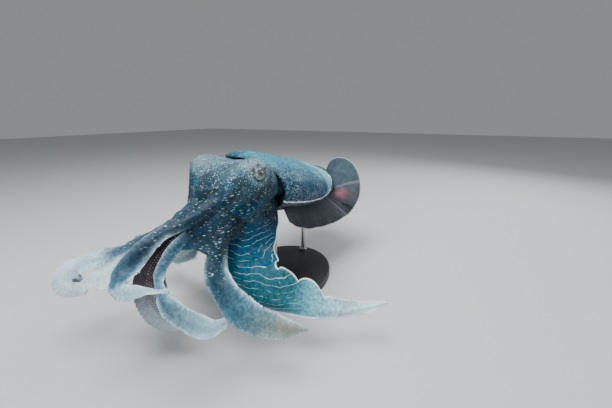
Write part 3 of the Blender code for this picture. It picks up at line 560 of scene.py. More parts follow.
@dataclass(frozen=True)
class FinSkin:
    """Thin, see-through fin skin: dark grey, with fine rays and a white line along its edge."""

    name: str = "fin_skin"
    white: str = "#b4c2c8"
    ray_spacing: float = 0.0035
    speck_spacing: float = 0.0050

    def build(self) -> bpy.types.Material:
        """Makes the material."""
        ink = Ink(self.name)
        where = ink.place()
        out = ink.fact("out")
        ray = ink.wave(ink.fact("along"), self.ray_spacing)
        cloud = ink.ramp(ink.noise(where, 60.0, 5.0, 0.6), 0.3, 0.7, 0.76, 1.20)
        colour = ink.shaded(ink.fact("tint", "Color"), cloud * ink.ramp(ray, -1.0, 1.0, 0.94, 1.05))
        specks = ink.ramp(ink.cells(where, 1.0 / self.speck_spacing), 0.18, 0.10, 0.0, 0.18)
        edge = ink.most(ink.ramp(out, 0.972, 0.992, 0.0, 0.85), specks, ink.fact("fold") * 0.30)
        relief = ink.bump(ray, 0.12, 0.0003)
        relief = ink.bump(ink.noise(where, 300.0), 0.15, 0.0004, relief)
        clear = ink.most(ink.ramp(out, 0.05, 0.60, 1.0, 0.88), ink.ramp(out, 0.95, 0.99))
        return ink.finish(Base_Color=ink.mix(edge, colour, self.white), Roughness=0.60, Normal=relief,
                          IOR=1.36, Specular_IOR_Level=0.2, Alpha=clear, Subsurface_Weight=0.1,
                          Subsurface_Scale=0.004)


@dataclass(frozen=True)
class EyeGloss:
    """A living eye: a mottled grey-brown iris, a dark W-shaped slit and a clear wet surface."""

    name: str = "wet_eyeball"
    iris: str = "#474b45"
    fleck: str = "#656a60"
    rim: str = "#8f9a98"
    dark: str = "#1b1512"
    slit_half_width: float = 0.0046
    slit_half_height: float = 0.0006
    slit_swing: float = 0.0011

    def build(self) -> bpy.types.Material:
        """Makes the material."""
        ink = Ink(self.name)
        ahead, up = ink.fact("ahead"), ink.fact("above")
        swing = ink.math("COSINE", ahead * (2 * math.pi / self.slit_half_width))
        off = abs(up - swing * -self.slit_swing)
        slit = ink.ramp(off, self.slit_half_height * 1.5, self.slit_half_height)
        slit = slit * ink.ramp(abs(ahead), self.slit_half_width, self.slit_half_width * 0.9)
        fleck = ink.ramp(ink.noise(ink.place(), 900.0, 4.0), 0.35, 0.65)
        reach = ink.math("SQRT", ahead ** 2.0 + up ** 2.0)
        colour = ink.mix(fleck, self.iris, self.fleck)
        colour = ink.mix(ink.ramp(reach, 0.0042, 0.0066), colour, self.rim)
        return ink.finish(Base_Color=ink.mix(slit, colour, self.dark), Roughness=0.12, IOR=1.38,
                          Coat_Weight=0.6, Coat_Roughness=0.03)


@dataclass(frozen=True)
class SoftTint:
    """Wet flesh or horn of one colour with cloudy patches, for suckers, lips and beak."""

    name: str
    deep: str
    pale: str
    roughness: float = 0.36

    def build(self) -> bpy.types.Material:
        """Makes the material."""
        ink = Ink(self.name)
        where = ink.place()
        colour = ink.mix(ink.ramp(ink.noise(where, 140.0, 4.0), 0.35, 0.65), self.deep, self.pale)
        return ink.finish(Base_Color=colour, Roughness=self.roughness, IOR=1.40, Coat_Weight=0.25,
                          Normal=ink.bump(ink.noise(where, 900.0), 0.2, 0.0002), Coat_Roughness=0.15,
                          Subsurface_Weight=0.08, Subsurface_Scale=0.003)


@dataclass(frozen=True)
class PowderCoat:
    """Satin black powder coat on steel, with an orange-peel grain of 1 mm."""

    name: str = "powder_coated_steel"
    black: str = "#1d1e20"
    worn: str = "#26272a"
    grain: float = 1000.0

    def build(self) -> bpy.types.Material:
        """Makes the material."""
        ink = Ink(self.name)
        where = ink.place()
        colour = ink.mix(ink.ramp(ink.noise(where, 14.0, 4.0), 0.3, 0.7), self.black, self.worn)
        rough = ink.ramp(ink.noise(where, 30.0), 0.3, 0.7, 0.42, 0.55)
        relief = ink.bump(ink.noise(where, self.grain, 2.0), 0.22, 0.0003)
        return ink.finish(Base_Color=colour, Roughness=rough, Normal=relief)


@dataclass(frozen=True)
class BrushedSteel:
    """Brushed stainless steel: long fine scratches round the rod, about 0.3 mm apart."""

    name: str = "brushed_stainless_steel"
    steel: str = "#b9bbbd"
    stretch: tuple = (40.0, 40.0, 3000.0)

    def build(self) -> bpy.types.Material:
        """Makes the material."""
        ink = Ink(self.name)
        drawn_out = ink.node("Mapping", 0, {0: ink.place(), "Scale": self.stretch})
        scratch = ink.noise(drawn_out, 1.0, 3.0)
        return ink.finish(Base_Color=self.steel, Metallic=1.0, Normal=ink.bump(scratch, 0.15, 0.0001),
                          Roughness=ink.ramp(scratch, 0.3, 0.7, 0.24, 0.42))


@dataclass(frozen=True)
class PaleFloor:
    """A matte painted studio floor."""

    name: str = "pale_studio_floor"
    paint: str = "#c9ccce"

    def build(self) -> bpy.types.Material:
        """Makes the material."""
        return Ink(self.name).finish(Base_Color=self.paint, Roughness=0.85)


@dataclass
class Mantle:
    """The body behind the head: a blunt, rolled shield with a shallow opening behind the head.

    The border has rows of a share of the length and the height of the white line there.
    """

    length: float = 0.34
    half_width: float = 0.084
    height_up: float = 0.053
    height_down: float = 0.048
    power: float = 2.2
    front: tuple = (0.0, -0.060, 0.234)
    pitch: float = math.radians(10.5)
    droop: float = 0.008
    roll: float = math.radians(20.0)
    tail: float = 0.9985
    lobe: float = 0.028
    point: float = 0.024
    point_angle: float = math.radians(118.0)
    wall: float = 0.006
    depth: float = 0.030
    drop: float = 0.0125
    collar_wave: float = 0.0010
    shoulder: float = 0.0040
    fin_line: float = math.radians(-14.0)
    border: tuple = ((0, -0.0062), (0.15, -0.0072), (0.25, -0.0068), (0.38, -0.003), (0.48, -0.0004),
                     (0.56, 0.004), (0.62, 0.012), (0.66, 0.019), (0.7, 0.027), (0.74, 0.034),
                     (0.78, 0.0385), (0.84, 0.042), (1, 0.056))
    sides: int = 150
    stations: int = 104

    def frame_at(self, t: Array) -> tuple[Array, Array, Array, Array]:
        """Middle line, left, up and back directions: a straight line that droops with t squared."""
        t = np.atleast_1d(np.asarray(t, float))
        back = np.array([0.0, math.cos(self.pitch), -math.sin(self.pitch)])
        up = np.array([0.0, math.sin(self.pitch), math.cos(self.pitch)])
        centre = self.front + self.length * t[:, None] * back - self.droop * t[:, None] ** 2 * up
        side = math.cos(self.roll) * LEFT - math.sin(self.roll) * up
        rise = math.sin(self.roll) * LEFT + math.cos(self.roll) * up
        return centre, side, rise, back

    def sizes(self, t: Array) -> tuple[Array, Array, Array]:
        """Half width, height above and height below: powers of t that close in a blunt tail."""
        t = np.clip(np.atleast_1d(np.asarray(t, float)), 0.0, 1.0)
        width = self.half_width * (0.90 + 0.10 * np.sin(np.pi * np.clip(t / 0.7, 0, 1)))
        width = width * (1 - t ** 3.6) ** 0.55
        up = self.height_up * (1 - 0.22 * t) * (1 - t ** 8.0) ** 0.55
        down = self.height_down * (1 - 0.25 * t) * (1 - t ** 4.0) ** 0.55
        return width, up, down

    def rings(self, t: Array, scale: float, forward: Array, drop: Array = 0.0) -> Array:
        """Rings of a rounded box at shares t, made smaller by scale, moved towards the head and down."""
        centre, side, rise, back = self.frame_at(t)
        width, up, down = (size * scale for size in self.sizes(t))
        across, above = rounded(ring_angles(self.sides), self.power)
        tall = np.where(above > 0, up[:, None], down[:, None]) * above - drop
        flat = centre[:, None] + (width[:, None] * across)[..., None] * side + tall[..., None] * rise
        return flat - np.broadcast_to(forward, flat.shape[:2])[..., None] * back

    def patch(self) -> Patch:
        """The shield from its tail to its rounded collar and the floor of its opening."""
        shares = self.tail * (1 - np.linspace(0.0, 1.0, self.stations) ** 1.7)
        angle = ring_angles(self.sides)
        upper = np.clip(np.sin(angle), 0, 1)
        aside = angle - self.point_angle
        lobe = self.lobe * upper ** 1.1 + self.point * bell(aside / math.radians(34.0))
        lobe = lobe + self.collar_wave * np.sin(9 * angle + 0.6) * upper
        lobe = lobe + self.shoulder * ease((np.sin(angle) + 0.5) / 0.5)
        drop = self.drop * bell(aside / math.radians(50.0))
        fading = np.outer(bell(shares / 0.045), drop)
        outer = self.rings(shares, 1.0, np.outer(bell(shares / 0.16), lobe), fading)
        lip = self.wall / self.half_width
        turns = np.linspace(0, np.pi, 7)[1:]
        rim = [self.rings([0.0], 1 - lip * (0.5 - 0.5 * np.cos(turn)),
                          lobe + 0.30 * self.wall * np.sin(turn), drop) for turn in turns]
        deep = [self.rings([0.0], 1 - lip * (1 + 0.6 * f), lobe * (1 - f) - self.depth * f, drop * (1 - f))
                for f in (0.25, 0.5, 0.75, 1.0)]
        points = np.concatenate([outer, *rim, *deep])
        share = np.append(shares, np.zeros(len(points) - len(shares)))
        inside = (np.arange(len(points)) >= len(shares) + 4).astype(float)[:, None]
        centre, _, rise, _ = self.frame_at(share)
        line_at = np.interp(share, *np.array(self.border).T)[:, None]
        line = ((points - centre[:, None]) * rise).sum(axis=-1) - line_at
        level = rounded(angle, self.power)[1]
        rough = 0.0007 * swells(points, 0.011, 1) + 0.0012 * swells(points, 0.034, 2)
        facts = {"mantle": (1 - 0.9 * inside) * ease((line + 0.008) / 0.004), "line": line}
        return Patch(pushed(points, rough * (1 - inside)),
                     self.tint(points, line, level, share[:, None], inside), facts)

    def tint(self, points: Array, line: Array, level: Array, share: Array, inside: Array) -> Array:
        """Deep blue-grey low on the sides and paler on top, painted light from above; paler at the tail,
        grey below, with painted shade at the front of the top and a lighter blue-grey inside the
        opening, painted to lift its shade.
        """
        cloud = swells(points, 0.06, 3)
        # Painted light from above: the low sides are dark and the top is paler.
        top = graded(((-0.1, "#0a3148"), (0.3, "#0c3e58"), (0.62, "#0f4058"), (0.84, "#1f566b"),
                      (1, "#3f7f92")), level + 0.08 * cloud)
        # Painted shade: the front of the top, by the collar, is darkened.
        front = ease((0.035 - share) / 0.03) * ease((level - 0.5) / 0.3)
        top = painted(top, ("#8cc6da", 0.82 * ease((share - 0.42 + 0.06 * cloud) / 0.20)),
                      ("#1d3c4a", 0.8 * front))
        belly = mixed("#39444b", "#4d555b", 0.5 + 0.5 * cloud)
        # The inside of the opening is painted a lighter blue-grey to lift its shade.
        return painted(mixed(top, belly, ease((-line - 0.0005) / 0.004)), ("#4a7080", inside))


@dataclass
class Head:
    """The head from the neck to the crown of arms, with a bulge over each eye."""

    path: tuple = ((0, -0.074, 0.24), (0, -0.1, 0.242), (0, -0.128, 0.236), (0, -0.155, 0.218),
                   (0, -0.172, 0.2))
    half_width: tuple = (0.054, 0.065, 0.066, 0.064, 0.053)
    half_height: tuple = (0.034, 0.039, 0.041, 0.042, 0.034)
    power: float = 2.15
    bulge: float = 0.028
    bulge_angle: float = math.radians(47.0)
    bulge_spread: float = math.radians(25.5)
    bulge_place: float = 0.46
    bulge_reach: float = 0.24
    brow: float = 0.0010
    ridge: float = 0.0032
    groove: float = 0.4
    saddle: float = 0.0015
    cheek: float = 0.0032
    neck_half_width: float = 0.052
    neck_half_height: float = 0.034
    sides: int = 190
    stations: int = 110

    def frame_at(self, s: Array) -> tuple[Array, Array, Array, Array]:
        """Middle line, half sizes, forward and up directions at shares s of the head's path."""
        rows = np.stack([self.half_width, self.half_height], axis=1)
        centre, sizes, forward, _ = along_path(self.path, rows, s)
        return centre, sizes, forward, unit(np.cross(forward, LEFT))

    def lift(self, s: Array, angle: Array) -> Array:
        """How far the eye bulges stand out: two humps in the angle, times one along the head."""
        total = 0.0
        for place in (self.bulge_angle, math.pi - self.bulge_angle):
            turn = (angle - place + np.pi) % (2 * np.pi) - np.pi
            reach = np.where(s < self.bulge_place, 0.85, 1.0) * self.bulge_reach
            total = total + bell((s - self.bulge_place) / reach) * bell(turn / self.bulge_spread)
        return self.bulge * total

    def distance(self, points: Array) -> Array:
        """About how far points lie outside the head: their radius less the head's in their direction."""
        s = np.linspace(0.0, 1.0, 40)
        centre, sizes, forward, up = self.frame_at(s)
        away = points[:, None] - centre
        k = np.argmin(np.linalg.norm(away, axis=-1), axis=1)
        away = away[np.arange(len(points)), k]
        x = away @ LEFT
        y = (away * up[k]).sum(axis=-1)
        ahead = (away * forward[k]).sum(axis=-1)
        angle = np.arctan2(y, x)
        wide, high = sizes[k].T
        p = self.power
        reach = (np.abs(np.cos(angle) / wide) ** p + np.abs(np.sin(angle) / high) ** p) ** (-1 / p)
        outside = np.hypot(x, y) - reach - self.lift(s[k], angle)
        past = np.where((k == 0) | (k == len(s) - 1), np.abs(ahead), 0.0)
        return np.where(outside > 0, np.hypot(outside, past), np.maximum(outside, past - 0.004))

    def patch(self, arms: Sequence["Arm"], eyes: "Eyes") -> Patch:
        """Rings of a rounded box, raised over the eyes and drawn out towards the feet of the arms."""
        s = np.linspace(0.0, 1.0, self.stations)
        centre, sizes, _, up = self.frame_at(s)
        angle = ring_angles(self.sides)
        across, above = rounded(angle, self.power)
        lift = self.lift(s[:, None], angle[None])
        wide = sizes[:, :1] * across + lift * np.cos(angle)
        high = sizes[:, 1:] * above + lift * np.sin(angle)
        points = centre[:, None] + wide[..., None] * LEFT + high[..., None] * up[:, None]
        swell = drawn_out(points, arms, ROOT_FILLET)
        brow = 0.0
        for side in Side:
            reach = np.linalg.norm(points - eyes.centre(side), axis=-1)
            swell = swell * ease((reach - 0.018) / 0.022)
            brow = brow + bell((reach - 0.021) / 0.006)
        ridge = self.ridges(s, angle)
        saddle = np.outer(bell((s - 0.42) / 0.26), bell((angle - np.pi / 2) / math.radians(24.0)))
        rough = 0.0006 * swells(points, 0.008, 4) + 0.0010 * swells(points, 0.020, 5)
        cheek = np.outer(bell((s - 0.20) / 0.15), bell((np.cos(angle) ** 2 - 1) / 0.30))
        move = swell + rough + self.brow * brow + self.ridge * (ridge - self.groove)
        move = move - self.saddle * saddle + self.cheek * cheek
        points = pushed(points, move * ease(s / 0.1)[:, None])
        # Painted shade and painted highlight: the tint is darkened in the grooves between the face ridges
        # and lightened on their crests.
        tint = self.tint(points, s, eyes) * (0.72 + 0.54 * ridge)[..., None]
        dots = ease((points[..., 2] - 0.238 + 0.006 * swells(points, 0.02, 17)) / 0.016)
        crest = 0.85 * ease((points[..., 2] - 0.258) / 0.022)
        return Patch(points, tint, {"dots": dots, "dashes": 1 - dots, "mantle": crest})

    def ridges(self, s: Array, angle: Array) -> Array:
        """The ridges that run from the arms up the face: 1 on a crest, and the groove's share behind."""
        high = np.zeros((len(s), len(angle)))
        for start, end in ((58.0, 62.0), (24.0, 30.0), (-8.0, 2.0)):
            crest = np.radians(start + (end - start) * ease((s - 0.4) / 0.6))
            for place in (crest, np.pi - crest):
                turn = (angle[None] - place[:, None] + np.pi) % (2 * np.pi) - np.pi
                high = np.maximum(high, bell(turn / math.radians(11.0)))
        return self.groove + (high - self.groove) * ease((s - 0.42) / 0.30)[:, None]

    def tint(self, points: Array, s: Array, eyes: "Eyes") -> Array:
        """Dark blue-grey below and paler on top, painted light from above, with a pinkish crest over
        each eye and green near it.
        """
        patches = swells(points, 0.012, 7)
        aside, z = np.abs(points[..., 0]), points[..., 2]
        # Painted light from above: darker low on the head, paler towards the top.
        colour = graded(((0, "#0b2430"), (0.45, "#183643"), (0.8, "#2c4d5c"), (1, "#486a7a")),
                        ease((z - 0.200) / 0.085) + 0.16 * swells(points, 0.035, 6))
        layers = [("#2b2833", 0.52 * ease(patches)), ("#16302f", 0.40 * ease(swells(points, 0.017, 21)))]
        for side in Side:
            reach = np.linalg.norm(points - eyes.centre(side), axis=-1)
            crest = bell(reach / 0.040) * ease((z - 0.266) / 0.016)
            layers += [("#445f5c", 0.60 * bell(reach / 0.030) * ease(patches * 0.9 + 0.4)),
                       ("#8fa0a5", 0.45 * bell((reach - 0.0155) / 0.0035)),
                       ("#96989f", 0.52 * crest * ease(patches * 1.2 + 0.5))]
        low = ease((0.240 - z) / 0.03) * ease((aside - 0.036) / 0.02)
        under = ease((0.205 - z) / 0.02) * (1 - ease((aside - 0.03) / 0.02))
        # The first layer pales the top further: more painted light from above.
        layers += [("#7d9aa8", 0.25 * ease((z - 0.270) / 0.020)), ("#073a50", 0.85 * low),
                   ("#6c6870", 0.7 * under * ease((0.6 - s[:, None]) / 0.3))]
        return painted(colour, *layers)

    def neck(self, mantle: Mantle) -> Patch:
        """The neck, from inside the mantle's opening into the head."""
        centre, _, _, back = mantle.frame_at(0.0)
        angle = ring_angles(72)
        across, above = rounded(angle, mantle.power)
        start = centre[0] + (mantle.depth + 0.006) * back
        end, sizes, forward, up = self.frame_at(np.array([0.0]))
        end = end[0] + 0.008 * forward[0]
        plane_up = np.array([0.0, math.sin(mantle.pitch), math.cos(mantle.pitch)])
        f = np.linspace(0.0, 1.0, 26)[:, None]
        middle = start + (end - start) * f
        rise = unit((1 - f) * plane_up + f * up)
        wide = self.neck_half_width + (sizes[0, 0] - 0.002 - self.neck_half_width) * f
        wide = wide + 0.0115 * bell((f - 0.66) / 0.30)
        high = self.neck_half_height + (sizes[0, 1] - 0.001 - self.neck_half_height) * f
        points = middle[:, None] + (across * wide)[..., None] * LEFT
        points = points + (above * high)[..., None] * rise[:, None]
        points = pushed(points, 0.0008 * np.sin(2 * np.pi * 5 * f))
        return Patch(points, mixed("#223640", "#31464f", 0.5 + 0.5 * swells(points, 0.02, 8)))


def fillet(distance: Array, width: float) -> Array:
    """How far a surface is drawn out where another is near: a quarter of the width where they meet,
    falling with the square of the share of the width that is left."""
    share = np.clip(1 - np.abs(distance) / width, 0, 1)
    return share ** 2 * width * 0.25


def drawn_out(points: Array, others: Sequence["Head | Arm"], width: float) -> Array:
    """The largest fillet of a surface of rings towards some other parts."""
    flat = points.reshape(-1, 3)
    moves = [fillet(other.distance(flat), width) for other in others]
    return np.max(moves, axis=0).reshape(points.shape[:2])


INNER_TINTS = ((0, "#1a161b"), (0.4, "#292228"), (0.6, "#474149"), (0.74, "#8b989f"), (1, "#a9b9bf"))
BANNER_TINTS = ((0, "#06202d"), (0.1, "#07293a"), (0.18, "#0a4762"), (0.28, "#0e526c"),
                (0.45, "#245c6b"), (0.6, "#356c77"), (0.7, "#82bfcf"), (0.82, "#cdf1f8"), (1, "#e4f9fc"))
BANNER = {"inner": ((0, "#15303d"), (0.5, "#34505c"), (0.8, "#86a2aa"), (1, "#b0c6cc")), "bright": 0.95,
          "pale_from": 0.78, "spotted_from": 0.5, "core": 0.0115, "height": 0.008, "ripple": 0.004,
          "waves": 4.0, "sides": 56, "stations": 170}


@dataclass
class Arm:
    """One arm: the points it passes, where its outer face looks there, its half widths and colours.

    The path has rows of a point in millimetres and the way of the outer face in tenths. The widths
    are rows of hundredths of the length, and the half widths to the left and the right in
    millimetres. The tints are rows of a share and a colour, on the outer face and the inner one.
    The notches are rows of a share and a depth, cut in the edge of the broader side. The light
    edges are how pale the left and the right edge are.
    """

    name: str
    path: tuple
    widths: tuple
    tints: tuple
    inner: tuple = INNER_TINTS
    light_edges: tuple = (0.3, 0.3)
    bright: float = 0.0
    pale_from: float = 0.66
    spotted_from: float = 2.0
    banner: float = 0.0
    notches: tuple = ()
    teeth: float = 0.0
    core: float = 0.0105
    height: float = 0.0085
    ripple: float = 0.0030
    waves: float = 5.0
    phase: float = 0.0
    edge: float = 0.0016
    row_height: float = 0.00030
    row_spacing: float = 0.0052
    sides: int = 36
    stations: int = 132

    def frame_at(self, t: Array) -> tuple[Array, Array, Array, Array, float]:
        """Centre, left, outward and forward directions at shares t, and the length."""
        rows = np.array(self.path)
        centre, faces, ahead, length = along_path(rows[:, :3] / 1000, rows[:, 3:] / 10, t)
        outward = unit(faces - ahead * (faces * ahead).sum(axis=1, keepdims=True))
        return centre, np.cross(outward, ahead), outward, ahead, length

    def sizes(self, t: Array) -> tuple[Array, Array, Array, Array, Array]:
        """Half widths left and right, core half width, and heights of the core out and in."""
        knots = np.array(self.widths) / (100, 1000, 1000)
        left, right = smooth_through(knots[:, 0], knots[:, 1:], t).T
        core = self.core * (1 - 0.62 * t) * (1 - np.clip(t, 0, 0.999) ** 4) ** 0.5
        core = np.minimum(core, 0.8 * np.minimum(left, right))
        outer = self.height * (1 - 0.80 * t)
        return left, right, core, outer, 0.62 * outer

    def section(self, t: Array, angle: Array) -> tuple[Array, Array, Array, Array]:
        """Across and outward places of the section, the signed share across and the way to the edge.

        The height is a hump over the core on a membrane that thins to a rounded edge, and the
        membrane waves up and down along the arm.
        """
        left, right, core, outer, inner = (size[:, None] for size in self.sizes(t))
        t = t[:, None]
        share = np.sign(np.cos(angle)) * np.abs(np.cos(angle)) ** 0.85
        upper = np.sin(angle) > 0
        cusp = np.ones_like(t)
        for place, depth in self.notches:
            cusp = cusp * (1 - depth * np.exp(-np.abs(t - place) / 0.016))
        broad = np.where(share > 0, left > right, right > left)
        tooth = 1 - self.teeth * ease((t - 0.55) / 0.1) * (0.5 + 0.5 * np.sin(2 * np.pi * 46 * t))
        wide = np.where(share > 0, left, right) * np.where(np.abs(share) > 0.4, tooth, 1.0)
        wide = wide * np.where(broad, 1 - (1 - cusp) * ease((np.abs(share) - 0.3) / 0.5), 1.0)
        across = wide * share
        hump = 0.40 * (1 - np.abs(share)) + 0.60 * bell(across / (0.95 * core))
        round_off = np.sqrt(np.clip(1 - np.abs(share) ** 10, 0, 1))
        tall = np.where(upper, outer, -inner) * hump + np.where(upper, 0.5, -0.5) * self.edge
        wave = self.ripple * ease(t / 0.35) * np.sin(2 * np.pi * self.waves * t + self.phase)
        frill = np.sin(2 * np.pi * 3.3 * self.waves * t + 2 * self.phase)
        frill = 0.35 * self.ripple * ease(t / 0.2) * frill
        bend = wave * np.abs(share) ** 1.6 * np.sign(share) + frill * np.abs(share) ** 4
        return across, bend + tall * round_off, share * np.ones_like(across), wide * (1 - np.abs(share))

    def patch(self, head: Head, others: Sequence["Arm"], index: int) -> Patch:
        """The arm's skin, drawn out where it meets the head and the arms beside it."""
        t = 0.996 * (1 - (1 - np.linspace(0.0, 1.0, self.stations)) ** 1.12)
        angle = ring_angles(self.sides)
        centre, left, outward, _, length = self.frame_at(t)
        across, out, share, rim = self.section(t, angle)
        along = t[:, None] * length * np.ones_like(across)
        upper = np.sin(angle)[None] > 0
        middle = 1 - np.abs(share)
        rows = self.row_height * np.sin(2 * np.pi * along / self.row_spacing) * upper
        rows = rows * middle * ease(t / 0.1)[:, None]
        points = centre[:, None] + across[..., None] * left[:, None]
        points = points + (out + rows)[..., None] * outward[:, None]
        swell = np.maximum(drawn_out(points, [head], ROOT_FILLET), drawn_out(points, others, ARM_FILLET))
        swell = swell * ease((0.45 - t) / 0.25)[:, None]
        rough = 0.0005 * swells(points, 0.010, 9) * upper
        facing = np.clip((normals(points) * outward[:, None]).sum(axis=-1) * 4 + 0.5, 0, 1)
        points = pushed(points, swell + rough * middle)
        oral = (1 - facing) * ease(t / 0.12)[:, None]
        wide_left, wide_right = self.widths[2][1:]
        facts = {"along": along + index, "across": across * (1 if wide_left > wide_right else -1),
                 "oral": oral, "rim": rim + 0.0002}
        runs = {"dashes": (1 - ease((t - 0.42) / 0.2)) * (1 - 0.9 * self.banner * ease((t - 0.06) / 0.12)),
                "web": self.banner * ease((t - 0.10) / 0.10) * ease((0.72 - t) / 0.14),
                "pale": ease((t - self.pale_from) / 0.14),
                "bright": self.bright * ease((t - 0.06) / 0.10),
                "spotted": ease((t - self.spotted_from) / 0.12)}
        facts.update({name: run[:, None] * np.ones_like(share) for name, run in runs.items()})
        return Patch(points, self.tint(points, t[:, None] * np.ones_like(share), share, rim, oral), facts)

    def tint(self, points: Array, t: Array, share: Array, rim: Array, oral: Array) -> Array:
        """The outer and inner colours at shares t, lighter towards the pale edges, with painted shade
        down the middle of the outer face.
        """
        moved = t + 0.010 * swells(points, 0.014, 10) * ease(t / 0.3)
        edge = np.where(share > 0, *self.light_edges) * ease((t - 0.28) / 0.2)
        colour = painted(graded(self.tints, moved), ("#9fc3d3", edge * bell(rim / 0.0050)),
                         ("#e2f0f4", 0.85 * edge * bell(rim / 0.0019)))
        # Painted shade: the outer face is darkened down its middle.
        middle = 0.17 * (1 - self.banner) * bell(share / 0.5) * ease((t - 0.30) / 0.15)
        streak = ease(0.5 + 0.8 * swells(points, 0.045, 18)) * ease((t - self.pale_from) / 0.14)
        colour = painted(colour * (1 - middle)[..., None],
                         ("#6f97ab", 0.24 * streak * (1 - bell(rim / 0.004))))
        return mixed(colour, graded(self.inner, moved), oral)

    def distance(self, points: Array) -> Array:
        """About how far points lie outside the first half of the arm, in its nearest section."""
        t = np.linspace(0.0, 0.5, 40)
        centre, left, outward, ahead, _ = self.frame_at(t)
        away = points[:, None] - centre
        k = np.argmin(np.linalg.norm(away, axis=-1), axis=1)
        away = away[np.arange(len(points)), k]
        x = (away * left[k]).sum(axis=-1)
        y = (away * outward[k]).sum(axis=-1)
        wide_left, wide_right, core, outer, inner = (size[k] for size in self.sizes(t))
        wide = np.minimum(np.where(x > 0, wide_left, wide_right), 0.020)
        share = np.clip(np.abs(x) / wide, 0, 1)
        hump = 0.40 * (1 - share) + 0.60 * bell(x / (0.95 * core))
        tall = np.where(y > 0, outer, inner) * hump + 0.5 * self.edge
        beside = np.maximum(np.abs(x) - wide, 0)
        over = np.abs(y) - tall
        outside = np.where(beside > 0, np.hypot(beside, np.maximum(over, 0)), over)
        past = np.where(k == 0, np.maximum(-(away @ ahead[0]), 0.0), 0.0)
        return np.where(past > 0, np.hypot(np.maximum(outside, 0.0), past), outside)


